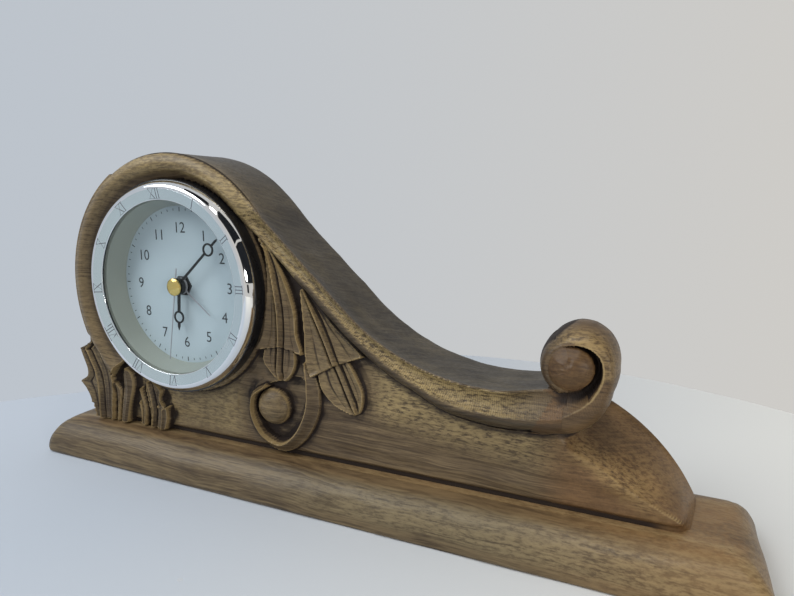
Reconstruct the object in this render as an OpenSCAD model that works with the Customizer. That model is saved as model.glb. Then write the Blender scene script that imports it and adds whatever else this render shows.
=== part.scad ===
// Carved wooden mantel clock with a round quartz alarm clock set in its head.
// X runs along the plinth, Y towards the back, Z up. The origin is under the middle of the plinth.

/* [Plinth] */
// Length of the plinth along the shelf
plinth_length = 340; // [320:1:380]
// Depth of the plinth from front to back
plinth_depth = 64; // [60:1:80]
// Height of the plinth
plinth_height = 18.4; // [15:0.1:26]
// Width of the rounded moulding on the long sides
moulding_width = 14; // [8:0.5:16]
// Width of the rounded moulding at the two ends
moulding_end_width = 13; // [8:0.5:20]
// Radius of the soft arris under the moulding
arris_radius = 2; // [1:0.25:4]

/* [Case] */
// Distance from the left end of the plinth to the case
case_set_in_left = 22.2; // [18:0.1:26]
// Distance from the right end of the plinth to the case
case_set_in_right = 22.4; // [18:0.1:26]
// Thickness of the board behind the sunk field
board_thickness = 30; // [26:0.5:34]
// Height of the carved ridges over the sunk field
relief_height = 7.5; // [6:0.25:9]
// How far the front lip stands proud of the board's edge
lip_proud = 1.2; // [0.8:0.1:2]
// Height of the clock's axis over the plinth
axis_height = 75.4; // [72:0.1:84]
// Distance of the clock's axis from the left end of the case
axis_from_left = 66; // [62:0.5:72]
// Width of wood round the bezel
head_border = 14.4; // [12:0.1:18]
// How far the head's centre lies left of the clock's axis
head_shift = 3; // [0:0.5:4]
// How far the head's centre lies under the clock's axis
head_drop = 1.8; // [0:0.1:3]

/* [Sweep] */
// Height of the low stretch of the sweep over the plinth
dip_height = 46.3; // [42:0.1:52]
// Radius of the hollow curve of the sweep
dip_radius = 92; // [80:1:96]
// Distance of the lowest point of the sweep from the right end of the case
dip_from_right = 72.6; // [68:0.1:78]
// Width of the gouged hollow where it is widest
hollow_width = 10.5; // [8:0.1:12]
// Depth of the gouged hollow under its ridges
hollow_depth = 3.6; // [2:0.1:5]
// Width of the bevel under the sweep where it is widest
bevel_width = 7; // [5:0.1:8]
// Radius of the falling curve of the toe
toe_radius = 75.5; // [72:0.5:80]
// How far the upper front of the toe leans back, in degrees
toe_lean = 66; // [56:1:70]

/* [Volute] */
// Radius of the domed eye of the volute
eye_radius = 8.6; // [7:0.1:9]
// Height of the eye's centre over the low stretch of the sweep
eye_rise = 11.1; // [10:0.1:13]
// Distance of the eye's centre from the right end of the case
eye_from_right = 45.3; // [43:0.1:47]
// Radius of the rounded knob behind the volute
knob_radius = 13.6; // [12:0.1:14.5]
// Depth of the rounded knob from front to back
knob_depth = 24; // [18:0.5:28]

/* [Leaf carving] */
// Height of the fronds over the field
frond_height = 4.2; // [3:0.1:5.5]
// Depth of the groove beside each midrib
groove_depth = 1.2; // [0.6:0.1:1.8]
// Radius of the domed button of the small scroll
button_radius = 9.2; // [8:0.1:10]
// Depth of the sunk ground round the button
button_ground_depth = 2.4; // [1:0.1:4]
// Height of the stem that curls round the button
stem_height = 4; // [3:0.1:5]
// Height of the leaf cluster at the left over the field
cluster_height = 4.6; // [3:0.1:6]

/* [Clock insert] */
// Outside diameter of the bezel
bezel_diameter = 100; // [94:0.5:104]
// Height of the bevel on the outside of the bezel
bezel_height = 4.3; // [3.6:0.1:5]
// Width of the bevel on the outside of the bezel
bezel_bevel = 2; // [1:0.1:3]
// Radius of the window in the bezel
window_radius = 41; // [39:0.1:41.5]
// How far the bezel's face is dished towards the window
bezel_dish = 1.4; // [0.4:0.1:1.6]
// Depth of the flange that stands in front of the wood
flange_stand = 10.7; // [9.5:0.1:11.5]
// Depth from the bezel's front to the dial
dial_depth = 13.6; // [12.8:0.1:14.5]
// Thickness of the glass
glass_thickness = 2; // [1.5:0.1:2.2]
// Radius of the barrel that goes into the case
barrel_radius = 45.6; // [44.5:0.1:46]
// Length of the barrel behind the flange
barrel_length = 20; // [16:0.5:21]
// Wall of the barrel
barrel_wall = 1.8; // [1.5:0.1:2.2]
// Thickness of the rubber band round the barrel
band_thickness = 0.8; // [0.6:0.1:1.2]
// Width of the rubber band round the barrel
band_width = 8; // [5:0.5:10]

/* [Hands] */
// Length of the minute hand from the axis
minute_hand_length = 35; // [30:0.5:36]
// Length of the hour hand from the axis
hour_hand_length = 21.7; // [18:0.1:26]
// Length of the second hand from the axis
second_hand_length = 36.5; // [30:0.5:37]
// Length of the alarm hand from the axis
alarm_hand_length = 21.8; // [18:0.1:26]
// Outer radius of the open ring on the minute and hour hands
hand_ring_radius = 3.1; // [1.8:0.1:3.3]
// Radius of the round bosses of the minute and hour hands
hub_radius = 4.2; // [3.8:0.1:4.6]
// Radius of the domed cap over the hands
cap_radius = 4.2; // [2:0.1:4.6]
// Minutes past the hour that the hands show
minutes_shown = 8; // [0:1:59]
// Hour that the hands show
hour_shown = 6; // [0:1:11]
// Seconds that the hands show
seconds_shown = 31.6; // [0:0.1:59]
// Hour at which the alarm is set
alarm_shown = 4.27; // [0:0.01:11.9]

/* [Movement] */
// Side of the square movement
movement_side = 57; // [56:0.5:60]
// Depth of the movement
movement_depth = 16; // [15.6:0.1:17]
// Wall of the movement's two shells
shell_wall = 1.4; // [1.2:0.1:1.6]
// Diameter of the battery
battery_diameter = 14.2; // [13.8:0.1:14.4]
// Length of the battery's body
battery_length = 49.2; // [48:0.1:49.6]
// Diameter of the setting knobs
knob_diameter = 9; // [7:0.5:10]
// How far the setting knobs stand out of the back
knob_stand = 3.6; // [3:0.1:4.5]
// Tooth module of the motion work and the setting pinions
motion_module = 0.5; // [0.48:0.01:0.52]
// Tooth module of the wheels that the rotor drives
train_module = 0.3; // [0.28:0.01:0.31]
// Play between meshing wheels
mesh_play = 0.1; // [0.05:0.01:0.15]

/* [Fasteners] */
// Shank diameter of the wood screws under the plinth
screw_diameter = 4; // [3.5:0.1:4.5]
// Length of the wood screws
screw_length = 30; // [26:1:34]
// Number of wood screws
screw_count = 4; // [3:1:5]
// Shank diameter of the small screws of the movement
small_screw_diameter = 1.6; // [1.4:0.1:2]

/* [Fits] */
// Radial gap of a shaft that turns in a hole
running_gap = 0.06; // [0.03:0.01:0.09]
// Gap between fixed pieces that slip together
slip_gap = 0.2; // [0.1:0.05:0.3]
// Gap between parts that pass each other without touching
pass_gap = 0.4; // [0.3:0.05:0.6]
// Radial gap of a hand pushed onto its tube
push_gap = 0.02; // [0.01:0.01:0.04]

/* [Hidden] */
$fn = 64;
wood = "#6b5437";
steel = "#b9bcc0";
black = "#1c1c1e";
brass = "#c9a24a";
white = "#eef1f2";
e = 0.01;

// Places of the case and of the clock's axis
case_left = -plinth_length / 2 + case_set_in_left;
case_right = plinth_length / 2 - case_set_in_right;
axis_x = case_left + axis_from_left;
axis_z = plinth_height + axis_height;
back_y = board_thickness / 2;
field_y = -board_thickness / 2;
ridge_y = field_y - relief_height;
bezel_radius = bezel_diameter / 2;
flange_radius = bezel_radius + 0.4;
seat_y = field_y - 1.8;
bezel_y = seat_y - flange_stand;
bore_radius = barrel_radius + band_thickness + running_gap;

// The head, the straight slope that touches it, and the hollow curve that the slope runs into. The
// curve is drawn for a case of case_length_drawn and stretches with it
head_radius = bezel_radius + head_border;
head = [axis_x - head_shift, axis_z - head_drop];
case_length_drawn = 295.4;
stretch = (case_right - case_left) / case_length_drawn;
sweep_radius = dip_radius * stretch;
dip = [case_right - dip_from_right * stretch, plinth_height + dip_height + sweep_radius];
head_to_dip = dip - head;
slope_turn = asin((head_radius + sweep_radius) / norm(head_to_dip));
slope_angle = atan2(head_to_dip[1], head_to_dip[0]) - slope_turn;
tangent_angle = slope_angle + 90;
eye = [case_right - eye_from_right, plinth_height + dip_height + eye_rise];
toe_reach = 69.6;
toe_below = 30.4;
toe = [case_right - toe_reach, plinth_height - toe_below];
dip_end = 278;
field_deep = 3.5;

// Points on a circle
function polar(centre, radius, angle) = centre + radius * [cos(angle), sin(angle)];
function arc(centre, radius, from, to, steps) =
    [for (i = [0:steps]) polar(centre, radius, from + (to - from) * i / steps)];

// A smooth curve through hand-chosen points: segment i, share t of the way along it
function curve_at(p, i, t) =
    let (a = p[max(i - 1, 0)])
    let (b = p[i])
    let (c = p[i + 1])
    let (d = p[min(i + 2, len(p) - 1)])
    0.5 * (2 * b + (c - a) * t + (2 * a - 5 * b + 4 * c - d) * t * t
        + (3 * b - a - 3 * c + d) * t * t * t);
function curve(p, steps) =
    concat([for (i = [0:len(p) - 2], k = [0:steps - 1]) curve_at(p, i, k / steps)],
        [p[len(p) - 1]]);

// A solid through a row of flat rings that all have the same number of points
module loft(rings) {
    sides = len(rings[0]);
    rows = len(rings);
    points = [for (ring = rings, p = ring) p];
    walls = [for (i = [0:rows - 2], k = [0:sides - 1])
        let (n = (k + 1) % sides)
        each [[i * sides + k, i * sides + n, (i + 1) * sides + n],
            [i * sides + k, (i + 1) * sides + n, (i + 1) * sides + k]]];
    first = [for (k = [sides - 1:-1:0]) k];
    last = [for (k = [0:sides - 1]) (rows - 1) * sides + k];
    polyhedron(points, concat(walls, [first, last]), convexity = 8);
}

// Stands a flat outline up, with its front face at y and its depth behind it
module upright(y, depth) {
    translate([0, y + depth, 0])
        rotate([90, 0, 0])
            linear_extrude(depth, convexity = 6)
                children();
}

// Puts the clock's pieces on its axis: z runs out of the dial from the bezel's front face
module on_clock() {
    translate([axis_x, bezel_y, axis_z])
        rotate([90, 0, 0])
            children();
}

// A disc or ring on the clock's axis, from depth near to depth far behind the bezel's front
module disc(radius, near, far, hole = 0) {
    translate([0, 0, -far])
        difference() {
            cylinder(r = radius, h = far - near);
            if (hole > 0)
                translate([0, 0, -1])
                    cylinder(r = hole, h = far - near + 2);
        }
}

// Plinth: a board with a quarter-round moulding worked on all four edges
function moulded_profile(half, width, height) = concat(
    [for (i = [0:10]) [half - width + width * sin(9 * i),
        arris_radius + (height - arris_radius) * cos(9 * i)]],
    [for (i = [1:4]) [half - arris_radius + arris_radius * cos(22.5 * i),
        arris_radius - arris_radius * sin(22.5 * i)]]);
function mirrored(p) = concat(p, [for (i = [len(p) - 1:-1:0]) [-p[i][0], p[i][1]]]);
screw_end_share = 0.08;
screw_span = (case_right - case_left) * (1 - 2 * screw_end_share);
screw_x = [for (i = [0:screw_count - 1])
    (case_left + case_right) / 2 + screw_span * (i / (screw_count - 1) - 0.5)];
head_of_screw = screw_diameter;
screw_head = 2;
screw_point = 3;
screw_sink = 3;
module plinth() color(wood) difference() {
    intersection() {
        translate([-plinth_length / 2, 0, 0])
            rotate([90, 0, 90])
                linear_extrude(plinth_length)
                    polygon(mirrored(moulded_profile(plinth_depth / 2, moulding_width, plinth_height)));
        translate([0, plinth_depth / 2, 0])
            rotate([90, 0, 0])
                linear_extrude(plinth_depth)
                    polygon(mirrored(moulded_profile(plinth_length / 2, moulding_end_width,
                        plinth_height)));
    }
    for (x = screw_x) translate([x, 0, 0]) {
        translate([0, 0, -1])
            cylinder(d = screw_diameter + 2 * slip_gap, h = plinth_height + 2);
        translate([0, 0, -1])
            cylinder(r = head_of_screw + slip_gap, h = screw_sink + 1);
    }
}

// Wood screws with flat heads, sunk into the underside of the plinth
module case_screws() color(steel)
    for (x = screw_x) translate([x, 0, screw_sink]) {
        translate([0, 0, -screw_head])
            cylinder(r = head_of_screw, h = screw_head);
        cylinder(d = screw_diameter, h = screw_length - screw_point);
        translate([0, 0, screw_length - screw_point])
            cylinder(d1 = screw_diameter, d2 = 0.6, h = screw_point);
    }

// Outline of the board behind the carving: the round head, the slope, the hollow and the toe
module board_outline() {
    r = head_radius - lip_proud;
    translate(head)
        circle(r, $fn = 128);
    polygon(concat(
        [[case_left, plinth_height], [head[0] - r + 5, head[1] - r * 0.3], head],
        [polar(head, r - 0.2, tangent_angle + 2)],
        arc(dip, sweep_radius + lip_proud, tangent_angle + 180, dip_end, 14),
        [[eye[0], eye[1] - eye_radius]],
        arc(toe, toe_radius, 62, asin((plinth_height - toe[1]) / toe_radius), 12)));
}

// The lip and gouged hollow that run round the head, as a ring turned on the head's centre
border_width = 17.4;
border_stations = [0, 1.6, 4.4, 7.4, 10.9, border_width];
function border_height(inward) = lookup(inward, [[0, relief_height - 1.4], [1.6, relief_height],
    [4.4, 4.2], [7.4, 2.7], [10.9, 2], [border_width, 2.3]]);
border_turn = 172;
module head_border_ring()
    translate([head[0], field_y, head[1]])
        rotate([90, 0, 0])
            rotate([0, 0, tangent_angle - 1])
                rotate_extrude(angle = border_turn, $fn = 96)
                    polygon(concat([[head_radius, -2]],
                        [for (d = border_stations) [head_radius - d, border_height(d)]],
                        [[head_radius - border_width, -2]]));

// Sweep band: a path down the slope, along the hollow curve and round the eye. At each station
// the band has its lip on the path, a gouged hollow, an inner ridge and a bevel down to the field
coil_start = 252;
coil_turn = 278;
function dip_angle(k) = (tangent_angle + 180) * (2 - k) + dip_end * (k - 1);
function path_point(k) =
    k < 1 ? polar(head, head_radius, tangent_angle) * (1 - k)
        + polar(dip, sweep_radius, tangent_angle + 180) * k :
    k < 2 ? polar(dip, sweep_radius, dip_angle(k)) :
    polar(eye, eye_radius, coil_start + coil_turn * (k - 2));
function path_side(k) =
    k < 1 ? [cos(tangent_angle + 180), sin(tangent_angle + 180)] :
    k < 2 ? polar([0, 0], 1, dip_angle(k)) :
    polar([0, 0], 1, coil_start + coil_turn * (k - 2));
function hollow_share(k) = lookup(k, [[0, 0.84], [0.4, 0.8], [0.75, 0.52], [1, 0.44], [1.26, 0.52],
    [1.46, 0.67], [1.65, 0.91], [2, 1], [2.07, 0.8], [2.23, 0.35], [2.39, 0.1], [3, 0.04]]);
function bevel_share(k) = lookup(k, [[0, 0.3], [0.4, 0.35], [0.75, 0.85], [1, 0.93], [1.46, 0.9],
    [1.65, 0.96], [1.84, 1], [2, 0.85], [2.07, 0.97], [2.23, 0.83], [2.39, 0.76], [2.55, 1.15],
    [2.71, 1.24], [2.87, 0.7], [3, 0.25]]);
function ridge_share(k) = lookup(k, [[0, 0.4], [0.4, 0.5], [0.75, 0.85], [1, 1], [3, 1]]);
function foot_share(k) = lookup(k, [[0, 0], [2.1, 0], [2.39, 0.5], [3, 0.55]]);
function head_share(k) = max(0, 1 - k / 0.35);
function band_ring(k) =
    let (lip = path_point(k))
    let (side = path_side(k))
    let (w = hollow_width * hollow_share(k))
    let (b = bevel_width * bevel_share(k))
    let (crest = relief_height * ridge_share(k))
    let (dish = min(hollow_depth, 0.45 * w))
    let (foot = relief_height * foot_share(k))
    let (mix = head_share(k))
    [for (p = [[0, -field_deep, -field_deep], [0, relief_height - 0.8, relief_height - 1.4],
            [min(0.8, 0.2 * w), relief_height, relief_height],
            [0.35 * w, (relief_height + crest) / 2 - dish, border_height(0.35 * w)],
            [0.7 * w, crest - 0.75 * dish, border_height(0.7 * w)],
            [w, crest, border_height(w)],
            [w + 0.5 * b, crest * 0.62 + 0.5 * foot, border_height(w + 0.5 * b)],
            [w + b, foot, border_height(w + b)], [w + b, -field_deep, -field_deep]])
        [lip[0] + side[0] * p[0], field_y - p[1] * (1 - mix) - p[2] * mix, lip[1] + side[1] * p[0]]];
module sweep_band()
    loft([for (i = [52:-1:0]) band_ring(i < 12 ? i / 12 : i < 28 ? 1 + (i - 12) / 16 : 2 + (i - 28) / 24)]);

// Rounded knob behind the volute, and its domed eye
knob_middle = 0.42;
knob_shift = [1.8, 3.6];
eye_dome = 4.4;
module volute() {
    knob_front = field_y - relief_height * 0.55;
    translate([eye[0] + knob_shift[0], 0, eye[1] + knob_shift[1]])
        rotate([90, 0, 0])
            rotate_extrude()
                intersection() {
                    translate([0, -knob_front - knob_depth])
                        square([knob_radius, knob_depth]);
                    translate([0, -knob_front - knob_depth * knob_middle])
                        circle(knob_radius + 0.3);
                }
    translate([eye[0], ridge_y, eye[1]])
        rotate([-90, 0, 0])
            rotate_extrude()
                polygon(concat([[0, 9], [eye_radius, 9]],
                    [for (a = [0:15:90]) [(eye_radius - 0.3) * cos(a), eye_dome / 2 - eye_dome * sin(a)]]));
}

// A leaf form: rows of [height, left edge, midrib, right edge], as a loft with a groove each side
// of the midrib and a raised back on each half
function leaf_ring(row, rise, at, turn) =
    let (half_left = row[2] - row[1])
    let (half_right = row[3] - row[2])
    let (groove = min(groove_depth, 0.12 * rise + 0.4, 0.3 * min(half_left, half_right)))
    [for (p = [[row[1], -field_deep], [row[1], rise * 0.55], [row[2] - 0.55 * half_left, rise],
            [row[2] - 0.12 * half_left, rise - groove], [row[2], rise * 0.98],
            [row[2] + 0.12 * half_right, rise - groove], [row[2] + 0.55 * half_right, rise],
            [row[3], rise * 0.55], [row[3], -field_deep]])
        [at[0] + p[0] * cos(turn) + row[0] * sin(turn), field_y - p[1],
            at[1] + p[0] * sin(turn) - row[0] * cos(turn)]];
module leaf(rows, rise, at, turn = 0)
    loft([for (row = curve(rows, 2)) leaf_ring(row, rise, at, turn)]);

// Long frond beside the bezel, and the slanting frond under the sweep
frond_top = [axis_x + bezel_radius, axis_z + 24.6];
slant_top = frond_top + [21.5, -21.9];
slant_turn = 24.6;
lower_tier = 1.15;
module fronds() {
    leaf([[0, -1.6, -1, -0.4], [8, 1, 3.4, 6.6], [20, 1.9, 5.9, 13], [32, 0.9, 7.7, 17.8],
        [42, -1.6, 8, 18.1], [50.4, -5.6, 7.2, 17.9]], frond_height, frond_top);
    leaf([[41, 2.6, 7.7, 15.1], [54, -2.4, 6.3, 16], [60, 0.4, 5.9, 14.2], [65, 5.4, 6.6, 9.6]],
        frond_height - lower_tier, frond_top);
    leaf([[-1, -2.6, 0, 0.6], [9, -5.8, 0.2, 4.6], [18, -9.6, 0.3, 7.2], [26, -13.6, 0.3, 10],
        [33, -14, 0, 13.3], [37.6, -8.6, 0, 14.2]],
        frond_height, slant_top, slant_turn);
    leaf([[29, -8.1, 0.2, 6.2], [41, -12, 0.2, 7.5], [50, -9.6, 0.1, 7.6], [56, -4.6, 0, 4.4],
        [58.6, -1, 0, 1]], frond_height - lower_tier, slant_top, slant_turn);
}

// Small scroll: a stem that curls round a domed button
scroll = [axis_x + bezel_radius + 3.3, plinth_height + 22];
button_ground_width = 2.6;
stem_path = [[18, 23], [18.6, 12], [17.4, 1.5], [12, -9.4], [3.8, -16.6], [-6, -13.6],
    [-12, -4.6], [-11.6, 4.6], [-4.4, 10.2]];
stem_width = [1.6, 5.4, 6, 5.4, 4.4, 3.6, 2.8, 2.2, 1.4];
module small_scroll() {
    path = curve(stem_path, 3);
    widths = curve(stem_width, 3);
    loft([for (i = [0:len(path) - 1])
        let (step = path[min(i + 1, len(path) - 1)] - path[max(i - 1, 0)])
        let (side = [-step[1], step[0]] / norm(step))
        let (w = widths[i])
        [for (p = [[-0.5, -field_deep], [-0.5, stem_height * 0.7], [0.4, stem_height],
                [0.5 * w, stem_height * 0.75], [w, stem_height * 0.2], [w, -field_deep]])
            [scroll[0] + path[i][0] + side[0] * p[0], field_y - p[1],
                scroll[1] + path[i][1] + side[1] * p[0]]]]);
    translate([scroll[0], field_y - stem_height, scroll[1]])
        rotate([-90, 0, 0])
            rotate_extrude()
                polygon(concat([[0, 9], [button_radius, 9]],
                    [for (a = [0:18:90]) [(button_radius - 0.2) * cos(a), 3.4 - 4 * sin(a)]]));
}

// Leaves that stand up from the foot of the head at the left
module leaf_cluster() {
    foot = [axis_x - bezel_radius, plinth_height];
    leaf([[-42.6, -12, -11, -7.4], [-37.5, -20.2, -17, -1.6], [-32.5, -18.4, -13, -0.2],
        [-27, -16.4, -9.2, 2.6], [-20.6, -21, -8.2, 2.8], [-15.6, -17.6, -8, 2.6],
        [-10.6, -15.4, -8.2, 1.8], [-0.3, -13.2, -8.4, 0.6]], cluster_height, foot);
    leaf([[-31, 10.8, 11.4, 12], [-26.5, 8.2, 12.8, 16.2], [-20, 8.4, 13.2, 15.8],
        [-12, 6.4, 11.2, 13.2], [-0.3, 4.2, 7.6, 9.2]], cluster_height - 0.6, foot);
    leaf([[-24, 2.4, 2.9, 3.6], [-19, 3.2, 4.4, 5.9], [-12, 2, 3.2, 4.2], [-0.3, 0.9, 1.5, 2.6]],
        cluster_height - 1.4, foot);
    leaf([[-24.4, 24.8, 25.4, 29.8], [-20.5, 23.2, 27.2, 35.8], [-15, 24.8, 28.6, 35],
        [-9, 25.8, 28.6, 38.8], [-0.3, 24.9, 26.8, 36]], cluster_height - 1, foot);
    leaf([[-17.2, 19, 19.4, 20], [-13.4, 20.2, 21.4, 22.9], [-8, 20.6, 21.8, 22.9],
        [-0.3, 18.8, 20.2, 21.4]], cluster_height - 1.8, foot);
}

// Case: the board, its carving, the through bore for the insert and the pilot holes of the screws
module case() color(wood) difference() {
    union() {
        difference() {
            upright(field_y, board_thickness)
                board_outline();
            toe_front_cut();
            translate([scroll[0], field_y + button_ground_depth, scroll[1]])
                rotate([90, 0, 0])
                    cylinder(r = button_radius + button_ground_width, h = button_ground_depth + 1);
        }
        translate([axis_x, field_y + 1, axis_z])
            rotate([90, 0, 0])
                cylinder(r = flange_radius + 1.6, h = field_y + 1.4 - seat_y);
        head_border_ring();
        sweep_band();
        volute();
        fronds();
        small_scroll();
        leaf_cluster();
    }
    translate([axis_x, back_y + 1, axis_z])
        rotate([90, 0, 0])
            cylinder(r = bore_radius, h = board_thickness + relief_height + 4, $fn = 128);
    translate([axis_x, seat_y, axis_z])
        rotate([90, 0, 0])
            cylinder(r = flange_radius + pass_gap, h = relief_height + 4, $fn = 128);
    for (x = screw_x) translate([x, 0, plinth_height - 1])
        cylinder(r = screw_diameter / 2 + running_gap, h = screw_length + screw_sink - plinth_height + 2);
}

// The plane that leans the toe's front back to its top edge
toe_ridge = [case_right - 40.8, plinth_height + 23.8];
toe_ridge_turn = 29.7;
toe_cut = [90, board_thickness * 1.4, board_thickness * 1.4];
module toe_front_cut() {
    translate([toe_ridge[0], field_y, toe_ridge[1]])
        rotate([0, toe_ridge_turn, 0])
            rotate([90 - toe_lean, 0, 0])
                translate([-10, 0, 0])
                    cube(toe_cut);
}

// Insert body: flange, barrel and the floor that carries the dial and the movement
floor_near = dial_depth + 0.5;
floor_far = floor_near + 1.6;
cup_radius = window_radius + 1.9;
barrel_far = flange_stand + barrel_length;
module insert_body() color(black) on_clock() difference() {
    union() {
        disc(flange_radius, bezel_height, flange_stand);
        disc(barrel_radius, flange_stand - e, barrel_far);
    }
    disc(cup_radius, bezel_height - 1, floor_near);
    disc(barrel_radius - barrel_wall, floor_far, barrel_far + 1);
    disc(bush_radius + slip_gap, bezel_height, barrel_far);
}

// Rubber band that grips the wall of the bore
module grip_band() color("#26262a") on_clock()
    disc(barrel_radius + band_thickness, flange_stand + 3, flange_stand + 3 + band_width,
        barrel_radius + running_gap);

// Bezel: polished ring with a bevel outside, a dished face and a rebate for the glass
glass_near = 1.8;
glass_radius = window_radius + 2.4;
module bezel() color(steel) on_clock() rotate_extrude($fn = 128)
    polygon([[window_radius, -bezel_dish], [bezel_radius - bezel_bevel, 0],
        [bezel_radius, -bezel_height], [glass_radius + slip_gap, -bezel_height],
        [glass_radius + slip_gap, -glass_near], [window_radius, -glass_near]]);

// Glass under the bezel's lip
module glass() color("#dfe9ee", 0.3) on_clock()
    disc(glass_radius, glass_near + e, glass_near + glass_thickness);

// Pale ring between the glass and the dial
ring_near = glass_near + glass_thickness + 0.05;
ring_taper = 2.7;
module dial_ring() color("#d9dccf") on_clock() rotate_extrude($fn = 128)
    polygon([[window_radius - 0.2, -ring_near], [window_radius + 1.7, -ring_near],
        [window_radius + 1.7, -dial_depth], [window_radius - ring_taper, -dial_depth]]);

// Dial
dial_radius = window_radius + 1.6;
module dial() color(white) on_clock()
    disc(dial_radius, dial_depth + e, floor_near, bush_radius + slip_gap);

// Nut that holds the movement's bush in front of the dial
bush_radius = 4;
nut_near = dial_depth - 0.9;
module dial_nut() color(black) on_clock() difference() {
    translate([0, 0, -dial_depth])
        cylinder(r = 5.2, h = dial_depth - nut_near, $fn = 6);
    disc(bush_radius + running_gap, nut_near - 1, dial_depth + 1);
}

// Shaft sizes, from the second hand's arbor outwards, and the depth at which each hand sits
arbor_radius = 0.5;
minute_tube = 1.5;
hour_tube = 2.3;
alarm_tube = 3.1;
second_depth = 8;
minute_depth = 9.3;
hour_depth = 10.6;
alarm_depth = 11.9;
hand_thickness = 0.4;
boss_height = 0.9;
ring_band = 0.9;

// Turns a hand to its place on the dial, clockwise from twelve
module to_place(degrees, depth)
    on_clock()
        translate([0, 0, -depth])
            rotate([0, 0, -degrees])
                children();
minute_angle = minutes_shown * 6;
hour_angle = (hour_shown + minutes_shown / 60) * 30;

// A slender hand with an open ring near its tip, and a boss on its tube
module ring_hand(reach, ring_at, width, tube) difference() {
    union() {
        linear_extrude(hand_thickness)
            polygon([[-width, 0], [-width * 0.8, reach - 2 * width], [0, reach],
                [width * 0.8, reach - 2 * width], [width, 0]]);
        translate([0, ring_at, 0])
            cylinder(r = hand_ring_radius, h = hand_thickness);
        cylinder(r = hub_radius, h = boss_height);
    }
    translate([0, ring_at, -1])
        cylinder(r = hand_ring_radius - ring_band, h = 3);
    translate([0, 0, -1])
        cylinder(r = tube + push_gap, h = 3);
}
module hour_hand() color(black)
    to_place(hour_angle, hour_depth)
        ring_hand(hour_hand_length, hour_hand_length * 0.7, 0.9, hour_tube);
module minute_hand() color(black)
    to_place(minute_angle, minute_depth)
        ring_hand(minute_hand_length, minute_hand_length * 0.78, 0.65, minute_tube);
module thin_hand(reach, tail, width, tube) difference() {
    union() {
        linear_extrude(hand_thickness * 0.6)
            polygon([[-width, -tail], [-width * 0.5, reach], [width * 0.5, reach], [width, -tail]]);
        cylinder(r = tube + 1, h = boss_height * 0.7);
    }
    translate([0, 0, -1])
        cylinder(r = tube + push_gap, h = 3);
}
module second_hand() color(steel)
    to_place(seconds_shown * 6, second_depth)
        thin_hand(second_hand_length, 9, 0.35, arbor_radius);
module alarm_hand() color(steel)
    to_place(alarm_shown * 30, alarm_depth)
        thin_hand(alarm_hand_length, 0, 0.45, alarm_tube);

// Domed cap over the end of the second hand's arbor
cap_rim = 0.3;
cap_rise = 1.1;
module hub_cap() color(brass) on_clock()
    translate([0, 0, -second_depth + boss_height * 0.7])
        rotate_extrude()
            polygon(concat([[0, 0], [cap_radius, 0]], [for (a = [0:15:90])
                [cap_radius * cos(a), cap_rim + cap_rise * sin(a)]]));

// Wheel work. Teeth are slender, and each wheel is turned so that it stands in mesh
function mesh_phase(phase, teeth, next_teeth, direction) =
    direction + 180 + 180 / next_teeth - (phase - direction) * teeth / next_teeth;
function wheel_outline(teeth, size, phase) = [for (i = [0:teeth - 1], k = [0:3])
    let (half = [-0.27, -0.1, 0.1, 0.27][k])
    let (radius = size * (teeth / 2 + [-1.15, 0.85, 0.85, -1.15][k]))
    polar([0, 0], radius, phase + 360 / teeth * (i + half))];
module wheel(teeth, size, phase, near, far)
    translate([0, 0, -far])
        linear_extrude(far - near)
            polygon(wheel_outline(teeth, size, phase));

// Depths of the movement's walls and levels
movement_near = floor_far + 0.05;
movement_far = movement_near + movement_depth;
split = movement_near + 7.8;
inside_near = movement_near + shell_wall;
inside_far = movement_far - shell_wall;
alarm_level = inside_near + 0.5;
hour_level = alarm_level + 1.2;
motion_level = hour_level + 1.5;
plate_near = motion_level + 1.3;
plate_far = plate_near + 0.7;
centre_level = plate_far + 0.6;
third_level = centre_level + 1.5;
second_level = third_level + 1.3;
fifth_level = second_level + 1.3;
wheel_width = 0.8;

// Tooth counts
cannon_teeth = 10;
motion_teeth = 30;
motion_pinion_teeth = 8;
hour_teeth = 32;
setting_teeth = 10;
alarm_teeth = 34;
second_pinion_teeth = 8;
third_teeth = 60;
third_pinion_teeth = 8;
centre_teeth = 64;
second_teeth = 40;
fifth_pinion_teeth = 8;
fifth_teeth = 48;
rotor_teeth = 8;
centre_module = train_module * (second_pinion_teeth + third_teeth) / (third_pinion_teeth + centre_teeth);
fifth_module = train_module * 0.83;

// Centres of the wheels that don't stand on the clock's axis
function mesh_distance(a, b, size) = (a + b) * size / 2 + mesh_play;
motion_angle = 30;
third_angle = 60;
fifth_angle = 180;
rotor_angle = 225;
alarm_setting_angle = 135;
motion_place = polar([0, 0], mesh_distance(cannon_teeth, motion_teeth, motion_module), motion_angle);
time_place = motion_place
    + polar([0, 0], mesh_distance(setting_teeth, motion_teeth, motion_module), motion_angle);
third_place = polar([0, 0], mesh_distance(second_pinion_teeth, third_teeth, train_module), third_angle);
fifth_place = polar([0, 0], mesh_distance(fifth_pinion_teeth, second_teeth, train_module), fifth_angle);
rotor_place = fifth_place
    + polar([0, 0], mesh_distance(rotor_teeth, fifth_teeth, fifth_module), rotor_angle);
alarm_place = polar([0, 0], mesh_distance(setting_teeth, alarm_teeth, motion_module),
    alarm_setting_angle);
post_radius = 0.6;
shaft_radius = 1.2;
third_pivot = 0.45;
pivot_radius = 0.4;
magnet_radius = 2.6;

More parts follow.
